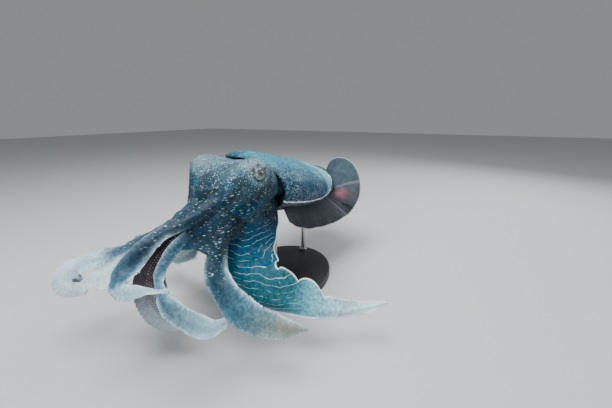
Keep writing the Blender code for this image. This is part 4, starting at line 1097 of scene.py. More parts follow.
ARMS = (
    Arm("arm_left_1",
        ((20, -165, 230, 5, -5, 7), (18, -200, 224, 7, -4, 6), (12, -240, 213, 8, -4, 5),
         (-1, -291, 199, 7, -5, 5), (-9, -332, 171, 4, -8, 4), (9, -346, 160, 0, -8, 6),
         (36, -339, 164, -1, -6, 8), (67, -324, 164, -1, -5, 8)),
        ((0, 12, 13), (25, 10, 12), (45, 9, 11), (60, 18, 10), (70, 22, 12), (80, 9, 10), (90, 5, 7),
         (100, 2, 2)),
        ((0, "#1c3341"), (0.35, "#223a4a"), (0.6, "#2b4455"), (0.73, "#456a80"), (0.77, "#b2d0dc"),
         (1, "#cfe6ee")),
        light_edges=(0.9, 0.15), pale_from=0.74, phase=0.6),
    Arm("arm_left_2",
        ((34, -157, 219, 8, -4, 6), (30, -188, 210, 7, -4, 6), (14, -222, 194, 6, -5, 6),
         (0, -258, 175, 8, -5, 3), (2, -289, 150, 7, -7, 0), (26, -305, 130, 3, -8, 4),
         (66, -306, 113, 1, -8, 5), (98, -297, 106, 0, -8, 5), (116, -290, 118, -4, -8, 3)),
        ((0, 11, 11), (25, 10, 11), (42, 8, 10), (60, 8, 8), (74, 14, 15), (90, 12, 13), (100, 4, 4)),
        ((0, "#182f3c"), (0.3, "#2b4659"), (0.42, "#48748d"), (0.6, "#6899b4"), (0.7, "#537584"),
         (0.86, "#8fb3be"), (1, "#bcd8e0")),
        light_edges=(0.75, 0.65), pale_from=0.74, teeth=0.07, phase=1.9),
    Arm("arm_left_3",
        ((36, -146, 210, 8, -4, 4), (40, -182, 197, 8, -4, 3), (42, -213, 173, 8, -6, 1),
         (50, -235, 146, 7, -7, 1), (78, -246, 118, 4, -8, 3), (110, -246, 98, 2, -8, 4),
         (144, -232, 82, 1, -8, 5), (184, -206, 70, 1, -8, 5)),
        ((0, 13, 13), (20, 13, 14), (36, 14, 15), (50, 18, 20), (65, 21, 26), (85, 15, 19), (100, 2, 3)),
        ((0, "#0b1f28"), (0.25, "#122b37"), (0.42, "#213e4c"), (0.55, "#37586a"), (0.66, "#4f7c90"),
         (0.78, "#7b9599"), (0.88, "#96988c"), (1, "#b3b0a1")),
        light_edges=(0.95, 0.35), pale_from=0.74, spotted_from=0.34, teeth=0.1, core=0.0125,
        height=0.0095, phase=3.1),
    Arm("arm_left_4",
        ((46, -100, 232, 9, -3, -2), (41, -120, 208, 8, -6, -2), (45, -146, 182, 8, -6, -1),
         (48, -174, 150, 8, -7, 1), (64, -194, 120, 7, -7, 2), (96, -198, 92, 5, -8, 4),
         (142, -178, 76, 4, -8, 5), (188, -150, 66, 4, -8, 5), (232, -116, 62, 4, -8, 5),
         (268, -86, 66, 3, -8, 5)),
        ((0, 41, 16), (8, 55, 20), (17, 60, 23), (26, 60, 24), (35, 60, 22), (45, 50, 16), (54, 55, 14),
         (62, 48, 13), (68, 44, 13), (75, 25, 12), (86, 14, 10), (100, 2, 3)),
        BANNER_TINTS,
        light_edges=(0.25, 0.5), banner=1.0, notches=((0.37, 0.05), (0.612, 0.2), (0.735, 0.34)),
        phase=0.2, **BANNER),
    Arm("arm_right_1",
        ((-20, -165, 228, -2, -6, 8), (-24, -200, 218, -1, -5, 8), (-36, -236, 195, 0, -5, 8),
         (-54, -272, 167, 1, -5, 8), (-73, -307, 143, 2, -5, 8), (-97, -338, 137, 3, -5, 8)),
        ((0, 12, 12), (30, 12, 11), (50, 14, 10), (65, 21, 14), (85, 22, 15), (94, 14, 10), (100, 3, 2)),
        ((0, "#22394a"), (0.35, "#34505f"), (0.55, "#587386"), (0.66, "#b3d0dc"), (0.8, "#cfe6ee"),
         (1, "#d6eaf0")),
        light_edges=(0.3, 0.5), pale_from=0.6, phase=2.4),
    Arm("arm_right_2",
        ((-42, -155, 214, -7, -4, 6), (-56, -186, 196, -4, -4, 7), (-84, -218, 174, -1, -4, 9),
         (-119, -255, 150, 1, -5, 9), (-146, -282, 138, 2, -5, 8), (-178, -310, 123, 4, -5, 7),
         (-177, -323, 107, 8, -5, 3), (-138, -316, 97, 8, -6, 1)),
        ((0, 11, 11), (40, 13, 14), (60, 16, 16), (78, 20, 19), (90, 14, 15), (100, 3, 3)),
        ((0, "#22394a"), (0.35, "#344c5d"), (0.55, "#4c687d"), (0.66, "#c8e4ee"), (1, "#def2f8")),
        light_edges=(0.4, 0.4), pale_from=0.6, phase=4.0),
    Arm("arm_right_3",
        ((-48, -144, 196, -9, -3, 1), (-62, -172, 176, -9, -2, 1), (-80, -206, 148, -9, -1, 2),
         (-84, -240, 118, -9, 3, 1), (-64, -264, 88, -7, 5, -3), (-28, -272, 64, -4, 6, -6),
         (14, -258, 50, -2, 6, -7)),
        ((0, 13, 13), (30, 14, 15), (45, 21, 22), (70, 25, 25), (90, 15, 16), (100, 3, 3)),
        ((0, "#182f3c"), (0.4, "#3a5564"), (0.65, "#607788"), (0.85, "#8aa2ac"), (1, "#b3c8cf")),
        light_edges=(0.6, 0.6), pale_from=0.62, teeth=0.08, core=0.0125, height=0.009, phase=5.2),
    Arm("arm_right_4",
        ((-45, -102, 226, -9, -3, -2), (-39, -126, 194, -8, -6, -2), (-48, -142, 166, -9, -5, 0),
         (-62, -150, 138, -8, -6, 1), (-84, -154, 108, -7, -7, 2), (-124, -148, 82, -4, -8, 5),
         (-176, -132, 66, -4, -8, 5), (-228, -110, 60, -4, -8, 5), (-268, -88, 66, -3, -8, 5)),
        ((0, 14, 32), (8, 18, 43), (20, 18, 52), (35, 16, 54), (48, 14, 44), (60, 13, 36), (67, 12, 30),
         (75, 12, 19), (86, 10, 12), (100, 3, 2)),
        ((0, "#06202d"), (0.2, "#2c4852"), (0.5, "#64797b"), (0.75, "#8fa6a8"), (1, "#b9cdd0")),
        light_edges=(0.5, 0.25), banner=0.5, notches=((0.4, 0.14), (0.6, 0.2), (0.74, 0.34)), phase=1.3,
        **BANNER),
)
NEIGHBOURS = ((1, 4), (0, 2), (1, 3), (2,), (0, 5), (4, 6), (5, 7), (6,))


@dataclass
class Web:
    """The skin between two neighbouring arms near their roots, with a hollow free edge.

    The reaches are the shares of the first and the second arm at which the web ends.
    """

    first: Arm
    second: Arm
    reaches: tuple = (0.30, 0.30)
    hollow: float = 0.12
    lift: float = 0.0030
    thickness: float = 0.0050
    stations: int = 44
    sides: int = 56

    def patch(self, index: int) -> Patch:
        """A sheet ruled from one arm's middle line to the other's, as rings round its thin section."""
        s = np.linspace(0.0, 1.0, self.stations)[:, None]
        angle = ring_angles(self.sides)[None]
        share = -np.cos(angle)
        down = s * (1 - self.hollow * s * (1 - share ** 2))
        sides = [(arm, reach * down) for arm, reach in zip((self.first, self.second), self.reaches)]
        (start, _, start_out), (end, _, end_out) = (
            [row.reshape(*down.shape, 3) for row in arm.frame_at(t.ravel())[:3]] for arm, t in sides)
        w = (0.5 + 0.5 * share)[..., None]
        outward = unit(start_out * (1 - w) + end_out * w)
        upper = np.sin(angle) > 0
        thick = 0.5 * self.thickness * np.sqrt(np.clip(1 - share ** 10, 0, 1)) * (1 - 0.45 * s)
        thick = thick * np.sqrt(np.clip(1 - s ** 16, 0.02, 1)) * np.where(upper, 1.0, -1.0)
        points = start * (1 - w) + end * w + (self.lift * (1 - 0.3 * s) + thick)[..., None] * outward
        oral = np.where(upper, 0.0, 1.0) * ease(s / 0.3)
        colour = 0.5 * sum(graded(arm.tints, t) for arm, t in sides)
        # The arms' mean colour darkened by about a quarter, with uneven patches: painted shade in the
        # hollow between the arms.
        colour = colour * (0.74 + 0.14 * swells(points, 0.02, 15))[..., None]
        inner = mixed("#221a22", "#41323b", ease(0.5 + 0.5 * swells(points, 0.012, 16)))
        facts = {"along": down * 0.08 + 20 + index, "oral": oral, "dashes": np.ones(down.shape),
                 "across": share * 0.5 * np.linalg.norm(start - end, axis=-1)}
        return Patch(points, mixed(colour, inner, oral), facts)


WEBS = (
    Web(ARMS[0], ARMS[1], (0.40, 0.34)),
    Web(ARMS[1], ARMS[2], (0.41, 0.37), hollow=0.08),
    Web(ARMS[2], ARMS[3], (0.30, 0.26)),
    Web(ARMS[0], ARMS[4], (0.34, 0.36)),
    Web(ARMS[4], ARMS[5], (0.34, 0.30)),
    Web(ARMS[5], ARMS[6], (0.30, 0.32)),
    Web(ARMS[6], ARMS[7], (0.32, 0.34)),
)


@dataclass
class Eyes:
    """Both eyeballs, and the lids and low flaps of skin round them.

    The lids are rows of the first and the last degree of their arc and their share of thickness,
    and the flaps' places are degrees from the top.
    """

    middle: tuple = (0.0667, -0.1458, 0.2678)
    look: tuple = (0.86, -0.36, 0.36)
    radius: float = 0.0095
    lid_ring: float = 0.0072
    lid_lift: float = 0.0068
    lid_radius: float = 0.0029
    flap_ring: float = 0.0130
    flap_root: float = 0.0035
    flap_height: float = 0.0056
    flap_radius: float = 0.0034
    lids: tuple = ((10, 170, 1.0), (200, 340, 0.75))
    flap_places: tuple = (-48.0, 0.0, 48.0)

    def centre(self, side: Side) -> Array:
        """The middle of an eyeball."""
        return self.middle * np.array([side.value, 1.0, 1.0])

    def axes(self, side: Side) -> tuple[Array, Array, Array]:
        """Where an eye looks, and the up and forward directions of its opening."""
        look = unit(self.look * np.array([side.value, 1.0, 1.0]))
        ahead = unit(np.cross(look, [0.0, 0.0, 1.0])) * -side.value
        return look, np.cross(look, ahead) * side.value, ahead

    def ball(self, side: Side, grow: float = 0.0) -> Array:
        """Rings of a sphere about the eye's own axis: a circle's sine and cosine, turned round."""
        look, up, ahead = self.axes(side)
        turn = np.linspace(0.004, np.pi - 0.004, 44)[:, None, None]
        angle = ring_angles(72)[None, :, None]
        rim = np.cos(angle) * ahead + np.sin(angle) * up
        return self.centre(side) + (self.radius + grow) * (np.cos(turn) * look + np.sin(turn) * rim)

    def eyeball(self, side: Side, finish: bpy.types.Material) -> bpy.types.Object:
        """One eyeball, with its places ahead of and above the middle of the pupil written on it."""
        made = finished(f"eyeball_{side.name.lower()}", self.ball(side), finish)
        away = vertex_places(made.data) - self.centre(side)
        _, up, ahead = self.axes(side)
        set_field(made.data, "ahead", away @ ahead)
        set_field(made.data, "above", away @ up)
        return made

    def folds(self, side: Side) -> list[Patch]:
        """The lid over the eye, the smaller one under it, and three low flaps above it."""
        look, up, ahead = self.axes(side)
        made = []
        for first, last, thick in self.lids:
            turn = np.radians(np.linspace(first, last, 44))[:, None]
            ring = self.centre(side) + look * self.lid_lift
            ring = ring + self.lid_ring * (np.cos(turn) * ahead + 0.85 * np.sin(turn) * up)
            radii = self.lid_radius * thick * (0.35 + 0.65 * np.sin(np.linspace(0, np.pi, 44)))
            made.append(self.fold_skin(tube(ring, radii, 20)))
        for place in np.radians(self.flap_places):
            aside = up * math.cos(place) + ahead * math.sin(place)
            root = self.centre(side) + look * self.flap_root + self.flap_ring * aside
            f = np.linspace(0.0, 1.0, 14)[:, None]
            out = unit(aside + 0.9 * look) * self.flap_height
            radii = self.flap_radius * (1 - f[:, 0] ** 2.2 * 0.85)
            made.append(self.fold_skin(tube(root + f * out, radii, 18)))
        return made

    def fold_skin(self, rings: Array) -> Patch:
        """A fold of skin in the colours round the eye."""
        return Patch(rings, mixed("#4a5f67", "#8f9a9f", 0.5 + 0.5 * swells(rings, 0.006, 12)))


def tube(centres: Array, radii: Array, sides: int) -> Array:
    """Rings square to a line of centres, each of its own radius."""
    ahead = unit(np.gradient(centres, axis=0))
    guide = np.array([0.0, 0.0, 1.0]) if np.abs(ahead[:, 2]).max() < 0.9 else np.array([0.0, 1.0, 0.0])
    first = unit(np.cross(ahead, guide))
    second = np.cross(ahead, first)
    angle = ring_angles(sides)[None, :, None]
    circle = np.cos(angle) * first[:, None] + np.sin(angle) * second[:, None]
    return centres[:, None] + radii[:, None, None] * circle


@dataclass
class Funnel:
    """The short open tube under the neck."""

    start: tuple = (0.0, -0.056, 0.202)
    end: tuple = (0.0, -0.140, 0.160)
    root_radius: float = 0.022
    tip_radius: float = 0.012
    wall: float = 0.0030
    bore: float = 0.030

    def patch(self) -> Patch:
        """A tapering oval tube with a rounded rim and a bore: one profile carried round its axis."""
        axis = np.subtract(self.end, self.start)
        along, reach = unit(axis), np.linalg.norm(axis)
        angle = ring_angles(64)[:, None]
        circle = 1.25 * np.cos(angle) * LEFT + np.sin(angle) * np.cross(LEFT, along)
        f = np.linspace(0.0, 1.0, 26)
        turn = np.linspace(0.0, np.pi, 7)[1:]
        inner = self.tip_radius - self.wall
        depth = np.concatenate([reach * f, reach + 0.5 * self.wall * np.sin(turn),
                                reach - self.bore * np.linspace(0.1, 1.0, 8)])
        outer = self.root_radius + (self.tip_radius - self.root_radius) * ease(f)
        radius = np.concatenate([outer, self.tip_radius - self.wall * (0.5 - 0.5 * np.cos(turn)),
                                 inner * np.ones(8)])
        points = self.start + depth[:, None, None] * along + radius[:, None, None] * circle
        tint = mixed("#5c616a", "#8e8b90", 0.5 + 0.5 * swells(points, 0.02, 13))
        # Painted shade: the inner side of the rim and the bore are darkened.
        return Patch(points, painted(tint, ("#2a2326", ease((np.arange(len(depth)) - 30) / 4)[:, None])))


@dataclass
class Skin:
    """The one skin of the mantle, neck, head, funnel and arms, joined and smoothed at its creases.

    Spread and blend count the edges that facts and smoothing reach from a crease, and passes how
    often it is smoothed.
    """

    patches: list[Patch]
    sockets: list[bpy.types.Object]
    fields: tuple = ("along", "across", "dots", "dashes", "web", "oral", "mantle", "pale", "line", "rim",
                     "spotted", "bright")
    far: tuple = ("line", "rim")
    spread: int = 6
    blend: int = 5
    passes: int = 14

    def build(self, finish: bpy.types.Material) -> bpy.types.Object:
        """Joins the patches, gives every point its facts again and smooths the creases.

        Args:
            finish: the skin's material.

        Returns:
            The skin, one closed surface.
        """
        parts = [closed_mesh(f"part_{i}", patch.points) for i, patch in enumerate(self.patches)]
        skin = combine(parts[0], parts[1:], Solver.JOIN)
        skin = combine(skin, self.sockets, Solver.CUT)
        skin.name = "skin"
        mesh = skin.data
        places = vertex_places(mesh)
        rows = self.known_rows()
        facts, new = self.look_up(places, rows)
        edges = np.empty(len(mesh.edges) * 2, np.int32)
        mesh.edges.foreach_get("vertices", edges)
        edges = edges.reshape(-1, 2)
        facts = self.fill(facts, new, edges)
        places = self.smooth(places, new, edges)
        mesh.vertices.foreach_set("co", places.astype(np.float32).ravel())
        for column, name in enumerate(self.fields):
            set_field(mesh, name, facts[:, column])
        set_tint(mesh, vivid(facts[:, len(self.fields):], RICHNESS))
        mesh.materials.clear()
        mesh.materials.append(finish)
        mesh.shade_smooth()
        mesh.update()
        return skin

    def known_rows(self) -> Array:
        """Every patch's points with their facts and tint, one row each; the line is far where unset."""
        made = []
        for patch in self.patches:
            shape = patch.points.shape[:2]
            unset = {name: np.full(shape, float(name in self.far)) for name in self.fields}
            columns = np.stack([patch.facts.get(name, unset[name]) for name in self.fields], axis=-1)
            rows = np.concatenate([patch.points, columns, patch.tint], axis=-1)
            made.append(rows.reshape(-1, rows.shape[-1]))
        return np.concatenate(made)

    def look_up(self, places: Array, rows: Array) -> tuple[Array, Array]:
        """Facts of the points that come from a patch, matched by place, and which points are new."""
        def key(points: Array) -> Array:
            """Each place as one record of whole micrometres."""
            whole = np.round(points.astype(np.float32).astype(float) * 2e6).astype(np.int64)
            return (whole[:, 0] * 4_000_003 + whole[:, 1]) * 4_000_003 + whole[:, 2]

        known, wanted = key(rows[:, :3]), key(places)
        order = np.argsort(known)
        spot = order[np.clip(np.searchsorted(known[order], wanted), 0, len(known) - 1)]
        return rows[spot, 3:], known[spot] != wanted

    def fill(self, facts: Array, new: Array, edges: Array) -> Array:
        """Gives new points the mean of the known points beside them, spreading inwards."""
        known = ~new
        for _ in range(self.spread):
            for column in range(facts.shape[1]):
                total = np.zeros(len(facts))
                count = np.zeros(len(facts))
                for a, b in ((0, 1), (1, 0)):
                    ready = known[edges[:, b]]
                    total += np.bincount(edges[ready, a], facts[edges[ready, b], column], len(facts))
                    count += np.bincount(edges[ready, a], minlength=len(facts))
                use = ~known & (count > 0)
                facts[use, column] = total[use] / count[use]
            reached = np.zeros(len(facts), bool)
            for a, b in ((0, 1), (1, 0)):
                reached[edges[known[edges[:, b]], a]] = True
            known = known | reached
        return facts

    def smooth(self, places: Array, new: Array, edges: Array) -> Array:
        """Moves points near a crease towards the mean of their neighbours, less with each edge away."""
        weight = new.astype(float)
        for _ in range(self.blend):
            for a, b in ((0, 1), (1, 0)):
                np.maximum.at(weight, edges[:, a], 0.8 * weight[edges[:, b]])
        count = np.bincount(edges.ravel(), minlength=len(places))
        for _ in range(self.passes):
            total = np.stack([sum(np.bincount(edges[:, a], places[edges[:, b], axis], len(places))
                                  for a, b in ((0, 1), (1, 0))) for axis in range(3)], axis=1)
            places = places + (0.55 * weight)[:, None] * (total / count[:, None] - places)
        return places


@dataclass
class Fins:
    """The skirt along each side of the mantle: a thin sheet that hangs, waves and curls at the tail.

    The shapes have rows of a share of the length, the tilt and the bend in degrees, and the reach
    in millimetres. The folds are the shares at which the skin is pinched.
    """

    shapes: dict = field(default_factory=lambda: {
        Side.LEFT: ((0, -38, 0, 30), (0.15, -46, 8, 45), (0.35, -44, 10, 52), (0.55, -26, 6, 60),
                    (0.7, -2, -6, 70), (0.82, 28, -20, 77), (0.92, 72, -42, 87), (1, 110, -50, 86)),
        Side.RIGHT: ((0, -30, 0, 30), (0.15, -20, 0, 45), (0.35, 10, -10, 50), (0.5, -22, 0, 54),
                     (0.65, 14, -10, 58), (0.8, -15, 0, 62), (0.92, 16, -20, 62), (1, 52, -30, 56)),
    })
    tints: tuple = ((0, "#19232a"), (0.5, "#1e282f"), (0.61, "#232c33"), (0.7, "#2a3238"),
                    (0.8, "#42464f"), (0.86, "#435660"), (1, "#506a76"))
    folds: tuple = (0.640, 0.852)
    start: float = 0.012
    end: float = 0.994
    sunk: float = 0.010
    root_thickness: float = 0.0045
    edge_thickness: float = 0.0012
    rib_height: float = 0.00012
    rib_spacing: float = 0.0045
    fold_height: float = 0.0016
    stations: int = 190
    rows: int = 34

    def sheet(self, mantle: Mantle, side: Side, t: Array, v: Array) -> Array:
        """Middle surface: steps out from the root whose tilt bends across the fin and waves along it."""
        points = []
        across, above = rounded(mantle.fin_line, mantle.power)
        for share in (t - 1e-4, t, np.minimum(t + 1e-4, 1.0)):
            centre, across_way, rise, _ = mantle.frame_at(share)
            width, _, down = mantle.sizes(share)
            points.append(centre + side.value * across_way * (width * across)[:, None]
                          + rise * (down * above)[:, None])
        line = unit(points[2] - points[0])
        out = unit(np.cross(line, rise) * side.value)
        knots = np.array(self.shapes[side]) / (1, 1, 1, 1000)
        tilt, bend, reach = smooth_through(knots[:, 0], knots[:, 1:], t).T
        reach = reach * (1 + 0.04 * bell((t - 0.93) / 0.05))
        reach = reach * (1 - 0.30 * np.clip((t - 0.90) / 0.094, 0, 1) ** 4)
        small = 6.0 * np.sin(2 * np.pi * 7 * t + side.value)[:, None] * v ** 2
        slope = np.radians(tilt[:, None] + np.outer(bend, v - 0.5) + small)
        step = np.concatenate([[0.0], np.diff(v)]) * (reach + self.sunk)[:, None]
        flat = np.cumsum(np.cos(slope) * step, axis=1)
        high = np.cumsum(np.sin(slope) * step, axis=1)
        sunk = points[1] - out * self.sunk
        return sunk[:, None] + flat[..., None] * out[:, None] + high[..., None] * rise

    def build(self, mantle: Mantle, side: Side, finish: bpy.types.Material) -> bpy.types.Object:
        """One fin as a closed sheet that thins to a rounded edge."""
        t = np.linspace(self.start, self.end, self.stations)
        v = np.linspace(0.0, 1.0, self.rows) ** 0.9
        middle = self.sheet(mantle, side, t, v)
        normal = unit(np.cross(np.gradient(middle, axis=0), np.gradient(middle, axis=1)))
        half = 0.5 * (self.root_thickness + (self.edge_thickness - self.root_thickness) * v ** 0.6)
        half = half * np.sqrt(np.clip(1 - v ** 24, 0.04, 1))
        ridge = self.rib_height * np.sin(2 * np.pi * t / self.rib_spacing)[:, None] * ease(v / 0.2)
        half = (half[None] + ridge)[..., None]
        fold = np.outer(sum(bell((t - place) / 0.007) for place in self.folds), ease(v / 0.1))
        middle = middle + normal * (self.fold_height * fold)[..., None]
        rings = np.concatenate([middle + normal * half, (middle - normal * half)[:, ::-1]], axis=1)
        made = finished(f"fin_{side.name.lower()}", rings, finish)
        both = np.concatenate([v, v[::-1]])
        crease = sum(bell((t - place) / 0.004) for place in self.folds)
        one = np.ones(rings.shape[:2])
        for name, values in (("out", both * one), ("along", (t * mantle.length)[:, None] * one),
                             ("fold", crease[:, None] * one)):
            set_field(made.data, name, values.ravel())
        tint = graded(self.tints, t[:, None] + 0.02 * swells(rings, 0.04, 14))
        flush = np.outer(bell((t - 0.785) / 0.045), bell((both - 0.40) / 0.22))
        tint = painted(tint, ("#a2606b", 0.65 * flush), ("#3b5460", 0.7 * (1 - ease(both / 0.22))))
        set_tint(made.data, tint.reshape(-1, 3))
        return made


@dataclass
class Suckers:
    """Small cupped suckers in four staggered rows on each arm's inner face."""

    per_row: int = 46
    rows: int = 4
    radius: float = 0.0023
    profile: tuple = ((0.62, -0.7), (0.80, 0.35), (1.0, 0.75), (0.80, 0.95), (0.55, 0.45))
    sides: int = 8
    first: float = 0.13
    last: float = 0.97

    def build(self, arms: Sequence[Arm], finish: bpy.types.Material) -> bpy.types.Object:
        """One joined mesh: a stalk, a rim and a hollow turned round each sucker's own axis."""
        radial, rise = (column[:, None, None] for column in np.array(self.profile).T)
        angle = (np.arange(self.sides) * 2 * np.pi / self.sides)[:, None]
        points = []
        for arm in arms:
            for row in range(self.rows):
                k = (np.arange(self.per_row) + 0.5 * (row % 2) + 0.3) / self.per_row
                t = self.first + (self.last - self.first) * k ** 0.94
                centre, left, outward, _, _ = arm.frame_at(t)
                _, _, core, _, inner = arm.sizes(t)
                place = (row - (self.rows - 1) / 2) * 0.44 * core
                hump = 0.60 * bell(place / (0.95 * core)) + 0.40 * (1 - np.abs(place) / (core * 1.3))
                size = (self.radius * (1 - 0.68 * t))[:, None, None, None]
                face = centre + left * place[:, None] - outward * (inner * hump + 0.5 * arm.edge)[:, None]
                ahead = np.cross(outward, left)[:, None, None]
                ring = np.cos(angle) * left[:, None, None] + np.sin(angle) * ahead
                points.append(face[:, None, None] + size * (radial * ring - rise * outward[:, None, None]))
        cups = np.concatenate(points)
        count, levels, sides = cups.shape[:3]
        i, j = np.meshgrid(np.arange(levels - 1), np.arange(sides), indexing="ij")
        here, beside = i * sides + j, i * sides + (j + 1) % sides
        quads = np.stack([here + sides, beside + sides, beside, here], axis=-1).reshape(-1, 4)
        start = (np.arange(count) * levels * sides)[:, None, None]
        lids = np.arange(sides)[::-1] + (levels - 1) * sides + start[:, 0]
        feet = np.arange(sides) + start[:, 0]
        mesh = bpy.data.meshes.new("suckers")
        faces = (quads + start).reshape(-1, 4).tolist() + lids.tolist() + feet.tolist()
        mesh.from_pydata(cups.reshape(-1, 3).tolist(), [], faces)
        mesh.shade_smooth()
        mesh.materials.append(finish)
        return linked("suckers", mesh)


@dataclass
class Mouth:
    """The lips between the arms' feet and the tips of the beak in them.

    The profile has rows of a share of the way in, a share of the radius and one of the depth.
    """

    radius: float = 0.019
    depth: float = 0.016
    profile: tuple = ((0, 0.7, -0.2), (0.12, 0.92, 0.1), (0.35, 1, 0.35), (0.6, 0.84, 0.72),
                      (0.8, 0.5, 1), (0.9, 0.32, 0.9), (1, 0.24, 0.55))

    def lips(self, head: Head, finish: bpy.types.Material) -> bpy.types.Object:
        """A low dome turned round the head's axis, with folds that run into a small opening."""
        centre, _, forward, up = (row[0] for row in head.frame_at(np.array([1.0])))
        angle = ring_angles(112)
        f = np.linspace(0.0, 1.0, 40)
        knots, reaches, heights = np.array(self.profile).T
        waves = 0.045 * np.cos(7 * angle) + 0.05 * np.cos(28 * angle)
        folds = 1 + np.outer(ease((f - 0.1) / 0.3), waves)
        radius = self.radius * np.interp(f, knots, reaches)[:, None] * folds
        points = centre + (self.depth * np.interp(f, knots, heights))[:, None, None] * forward
        points = points + (radius * np.cos(angle))[..., None] * LEFT
        points = points + (radius * np.sin(angle))[..., None] * up
        return finished("lips", points, finish)

    def beak(self, head: Head, finish: bpy.types.Material) -> bpy.types.Object:
        """Two dark hooked tips in the opening: narrowing tubes that bend towards each other."""
        centre, _, forward, up = (row[0] for row in head.frame_at(np.array([1.0])))
        f = np.linspace(0.0, 1.0, 18)[:, None]
        parts = []
        for way, reach in ((1, 0.88), (-1, 0.80)):
            line = centre + forward * self.depth * (0.3 + (reach - 0.3) * f)
            line = line + up * way * 0.0030 * (1 - f ** 2)
            parts.append(closed_mesh("beak_part", tube(line, 0.0028 * (1.05 - f[:, 0] ** 2), 20)))
        made = combine(parts[0], parts[1:], Solver.JOIN)
        made.name = "beak"
        made.data.shade_smooth()
        made.data.materials.clear()
        made.data.materials.append(finish)
        return made


@dataclass
class Stand:
    """A flat oval base with rounded edges, and two rods with small collars up to the belly."""

    half_width: float = 0.115
    half_length: float = 0.150
    height: float = 0.012
    bevel: float = 0.003
    rod_radius: float = 0.005
    collar_radius: float = 0.010
    collar_height: float = 0.006
    rods: tuple = (("stand_rod_front", -0.005), ("stand_rod_rear", 0.130))

    def base(self, finish: bpy.types.Material) -> bpy.types.Object:
        """A quarter-round profile carried round an ellipse."""
        turn = np.linspace(0.0, np.pi / 2, 9)
        inset = np.concatenate([[self.bevel * 0.3, 0.0], self.bevel * (1 - np.cos(turn))])
        level = np.concatenate([[0.0, self.bevel * 0.3], self.height - self.bevel * (1 - np.sin(turn))])
        angle = ring_angles(160)
        rings = np.stack([(self.half_width - inset[:, None]) * np.cos(angle),
                          (self.half_length - inset[:, None]) * np.sin(angle),
                          level[:, None] * np.ones(160)], axis=-1)
        return finished("base_plate", rings, finish, sharp=True)

    def rod(self, name: str, place: float, finish: bpy.types.Material) -> bpy.types.Object:
        """A turned profile: a collar with rounded edges, then the rod up into the belly."""
        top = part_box(name)[1].z + 0.002
        low, tall = self.height, self.height + self.collar_height
        wide, thin = self.collar_radius, self.rod_radius
        profile = ((wide * 0.98, low), (wide, low + 0.0005), (wide, tall - 0.0010), (wide - 0.0008, tall),
                   (thin + 0.0006, tall + 0.0002), (thin, tall + 0.0012), (thin, top))
        radius, level = np.array(profile).T
        angle = ring_angles(56)
        rings = np.stack([radius[:, None] * np.cos(angle), place + radius[:, None] * np.sin(angle),
                          level[:, None] * np.ones(56)], axis=-1)
        return finished(name.replace("stand_", ""), rings, finish, sharp=True)


@dataclass
class Studio:
    """The pale floor, soft lights and the camera at the photo's viewing angle.

    The soft lights are rows of a name, a place, the point that is lit, a size and a power.
    """

    camera_place: tuple = (0.340, -0.520, 0.356)
    camera_turn: tuple = (math.radians(73.5), 0.0, math.radians(27.0))
    lens: float = 17.65
    floor_reach: float = 6.0
    soft_lights: tuple = (("overhead", (-0.1, -0.35, 1.7), (0.0, -0.1, 0.18), 1.2, 40.0),
                          ("fill", (0.2, -1.6, 0.7), (0.0, -0.1, 0.18), 0.9, 9.0),
                          ("back", (0.7, 1.3, 1.1), (0.0, 0.0, 0.2), 0.9, 16.0))
    sky: str = "#e6e8ea"
    sky_strength: float = 0.34

    def camera(self) -> None:
        """Makes the camera the scene's own."""
        data = bpy.data.cameras.new("camera")
        data.lens = self.lens
        data.sensor_width = 36.0
        data.clip_start = 0.01
        made = linked("camera", data)
        made.location = self.camera_place
        made.rotation_euler = self.camera_turn
        bpy.context.scene.camera = made

    def floor(self, finish: bpy.types.Material) -> bpy.types.Object:
        """A wide flat sheet at floor level."""
        reach = self.floor_reach
        mesh = bpy.data.meshes.new("floor")
        corners = [(-reach, -reach, 0), (reach, -reach, 0), (reach, reach, 0), (-reach, reach, 0)]
        mesh.from_pydata(corners, [], [(0, 1, 2, 3)])
        mesh.materials.append(finish)
        made = linked("floor", mesh)
        return made

    def light(self, name: str, place: tuple, aim: tuple, size: float, power: float) -> None:
        """A square soft light that faces a point."""
        data = bpy.data.lights.new(name, "AREA")
        data.size = size
        data.energy = power
        made = linked(name, data)
        made.location = place
        made.rotation_euler = (Vector(place) - Vector(aim)).to_track_quat("Z", "Y").to_euler()

    def lights(self) -> None:
        """A broad light overhead, a fill beside the camera and a light behind the tail."""
        for light in self.soft_lights:
            self.light(*light)
        world = bpy.data.worlds.new("studio")
        world.use_nodes = True
        background = world.node_tree.nodes["Background"]
        background.inputs["Color"].default_value = (*linear(self.sky), 1.0)
        background.inputs["Strength"].default_value = self.sky_strength
        bpy.context.scene.world = world


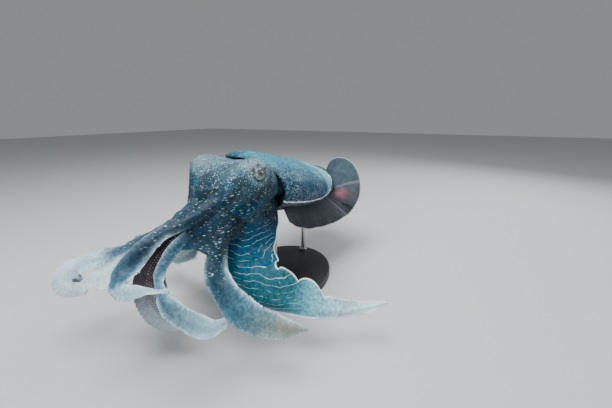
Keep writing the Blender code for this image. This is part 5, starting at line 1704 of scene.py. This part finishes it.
def report(piece: bpy.types.Object, slot: str, *nodes: str) -> None:
    """Sets a piece on its body, hides the frame's nodes that it stands for, and logs it.

    Args:
        piece: the finished piece.
        slot: not used.
        nodes: the frame's nodes that it replaces.
    """
    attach(piece, "root")
    if nodes:
        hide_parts(*nodes)
    piece.data.calc_loop_triangles()
    LOG.info("%s: %d triangles for %d nodes", piece.name, len(piece.data.loop_triangles), len(nodes))


def arm_nodes() -> list[str]:
    """The names of the three lengths of all eight arms."""
    return [f"{arm.name}_{part}" for arm in ARMS for part in ("root", "middle", "tip")]


def main() -> None:
    """Builds the studio, the animal and the stand."""
    logging.basicConfig(level=logging.INFO, format="%(name)s: %(message)s")
    studio = Studio()
    studio.camera()
    studio.floor(PaleFloor().build())
    studio.lights()
    mantle, head, eyes, funnel = Mantle(), Head(), Eyes(), Funnel()
    patches = [mantle.patch(), head.neck(mantle), head.patch(ARMS, eyes), funnel.patch()]
    patches += [arm.patch(head, [ARMS[k] for k in beside], i)
                for i, (arm, beside) in enumerate(zip(ARMS, NEIGHBOURS))]
    patches += [web.patch(index) for index, web in enumerate(WEBS)]
    patches += [fold for side in Side for fold in eyes.folds(side)]
    sockets = [closed_mesh("socket", eyes.ball(side, 0.0002)) for side in Side]
    skin = Skin(patches, sockets).build(LivingSkin().build())
    report(skin, "skin", "mantle", "neck", "head", "funnel", *arm_nodes())
    fin_skin = FinSkin().build()
    fins = Fins()
    for side in Side:
        word = side.name.lower()
        fin = fins.build(mantle, side, fin_skin)
        report(fin, "fin", *(f"fin_{word}_{part}" for part in ("front", "middle", "rear")))
    suckers = Suckers().build(ARMS, SoftTint("sucker_flesh", "#5c5056", "#8b8084").build())
    report(suckers, "skin")
    gloss = EyeGloss().build()
    for side in Side:
        report(eyes.eyeball(side, gloss), "eye", f"eye_{side.name.lower()}")
    mouth = Mouth()
    report(mouth.lips(head, SoftTint("lip_flesh", "#6a4a4c", "#a08680").build()), "lips", "mouth")
    report(mouth.beak(head, SoftTint("beak_horn", "#1c1310", "#35231b", 0.25).build()), "lips")
    stand = Stand()
    report(stand.base(PowderCoat().build()), "stand_base", "stand_base")
    steel = BrushedSteel().build()
    for name, place in stand.rods:
        report(stand.rod(name, place, steel), "stand_rod", name)


if __name__ == "__main__":
    main()
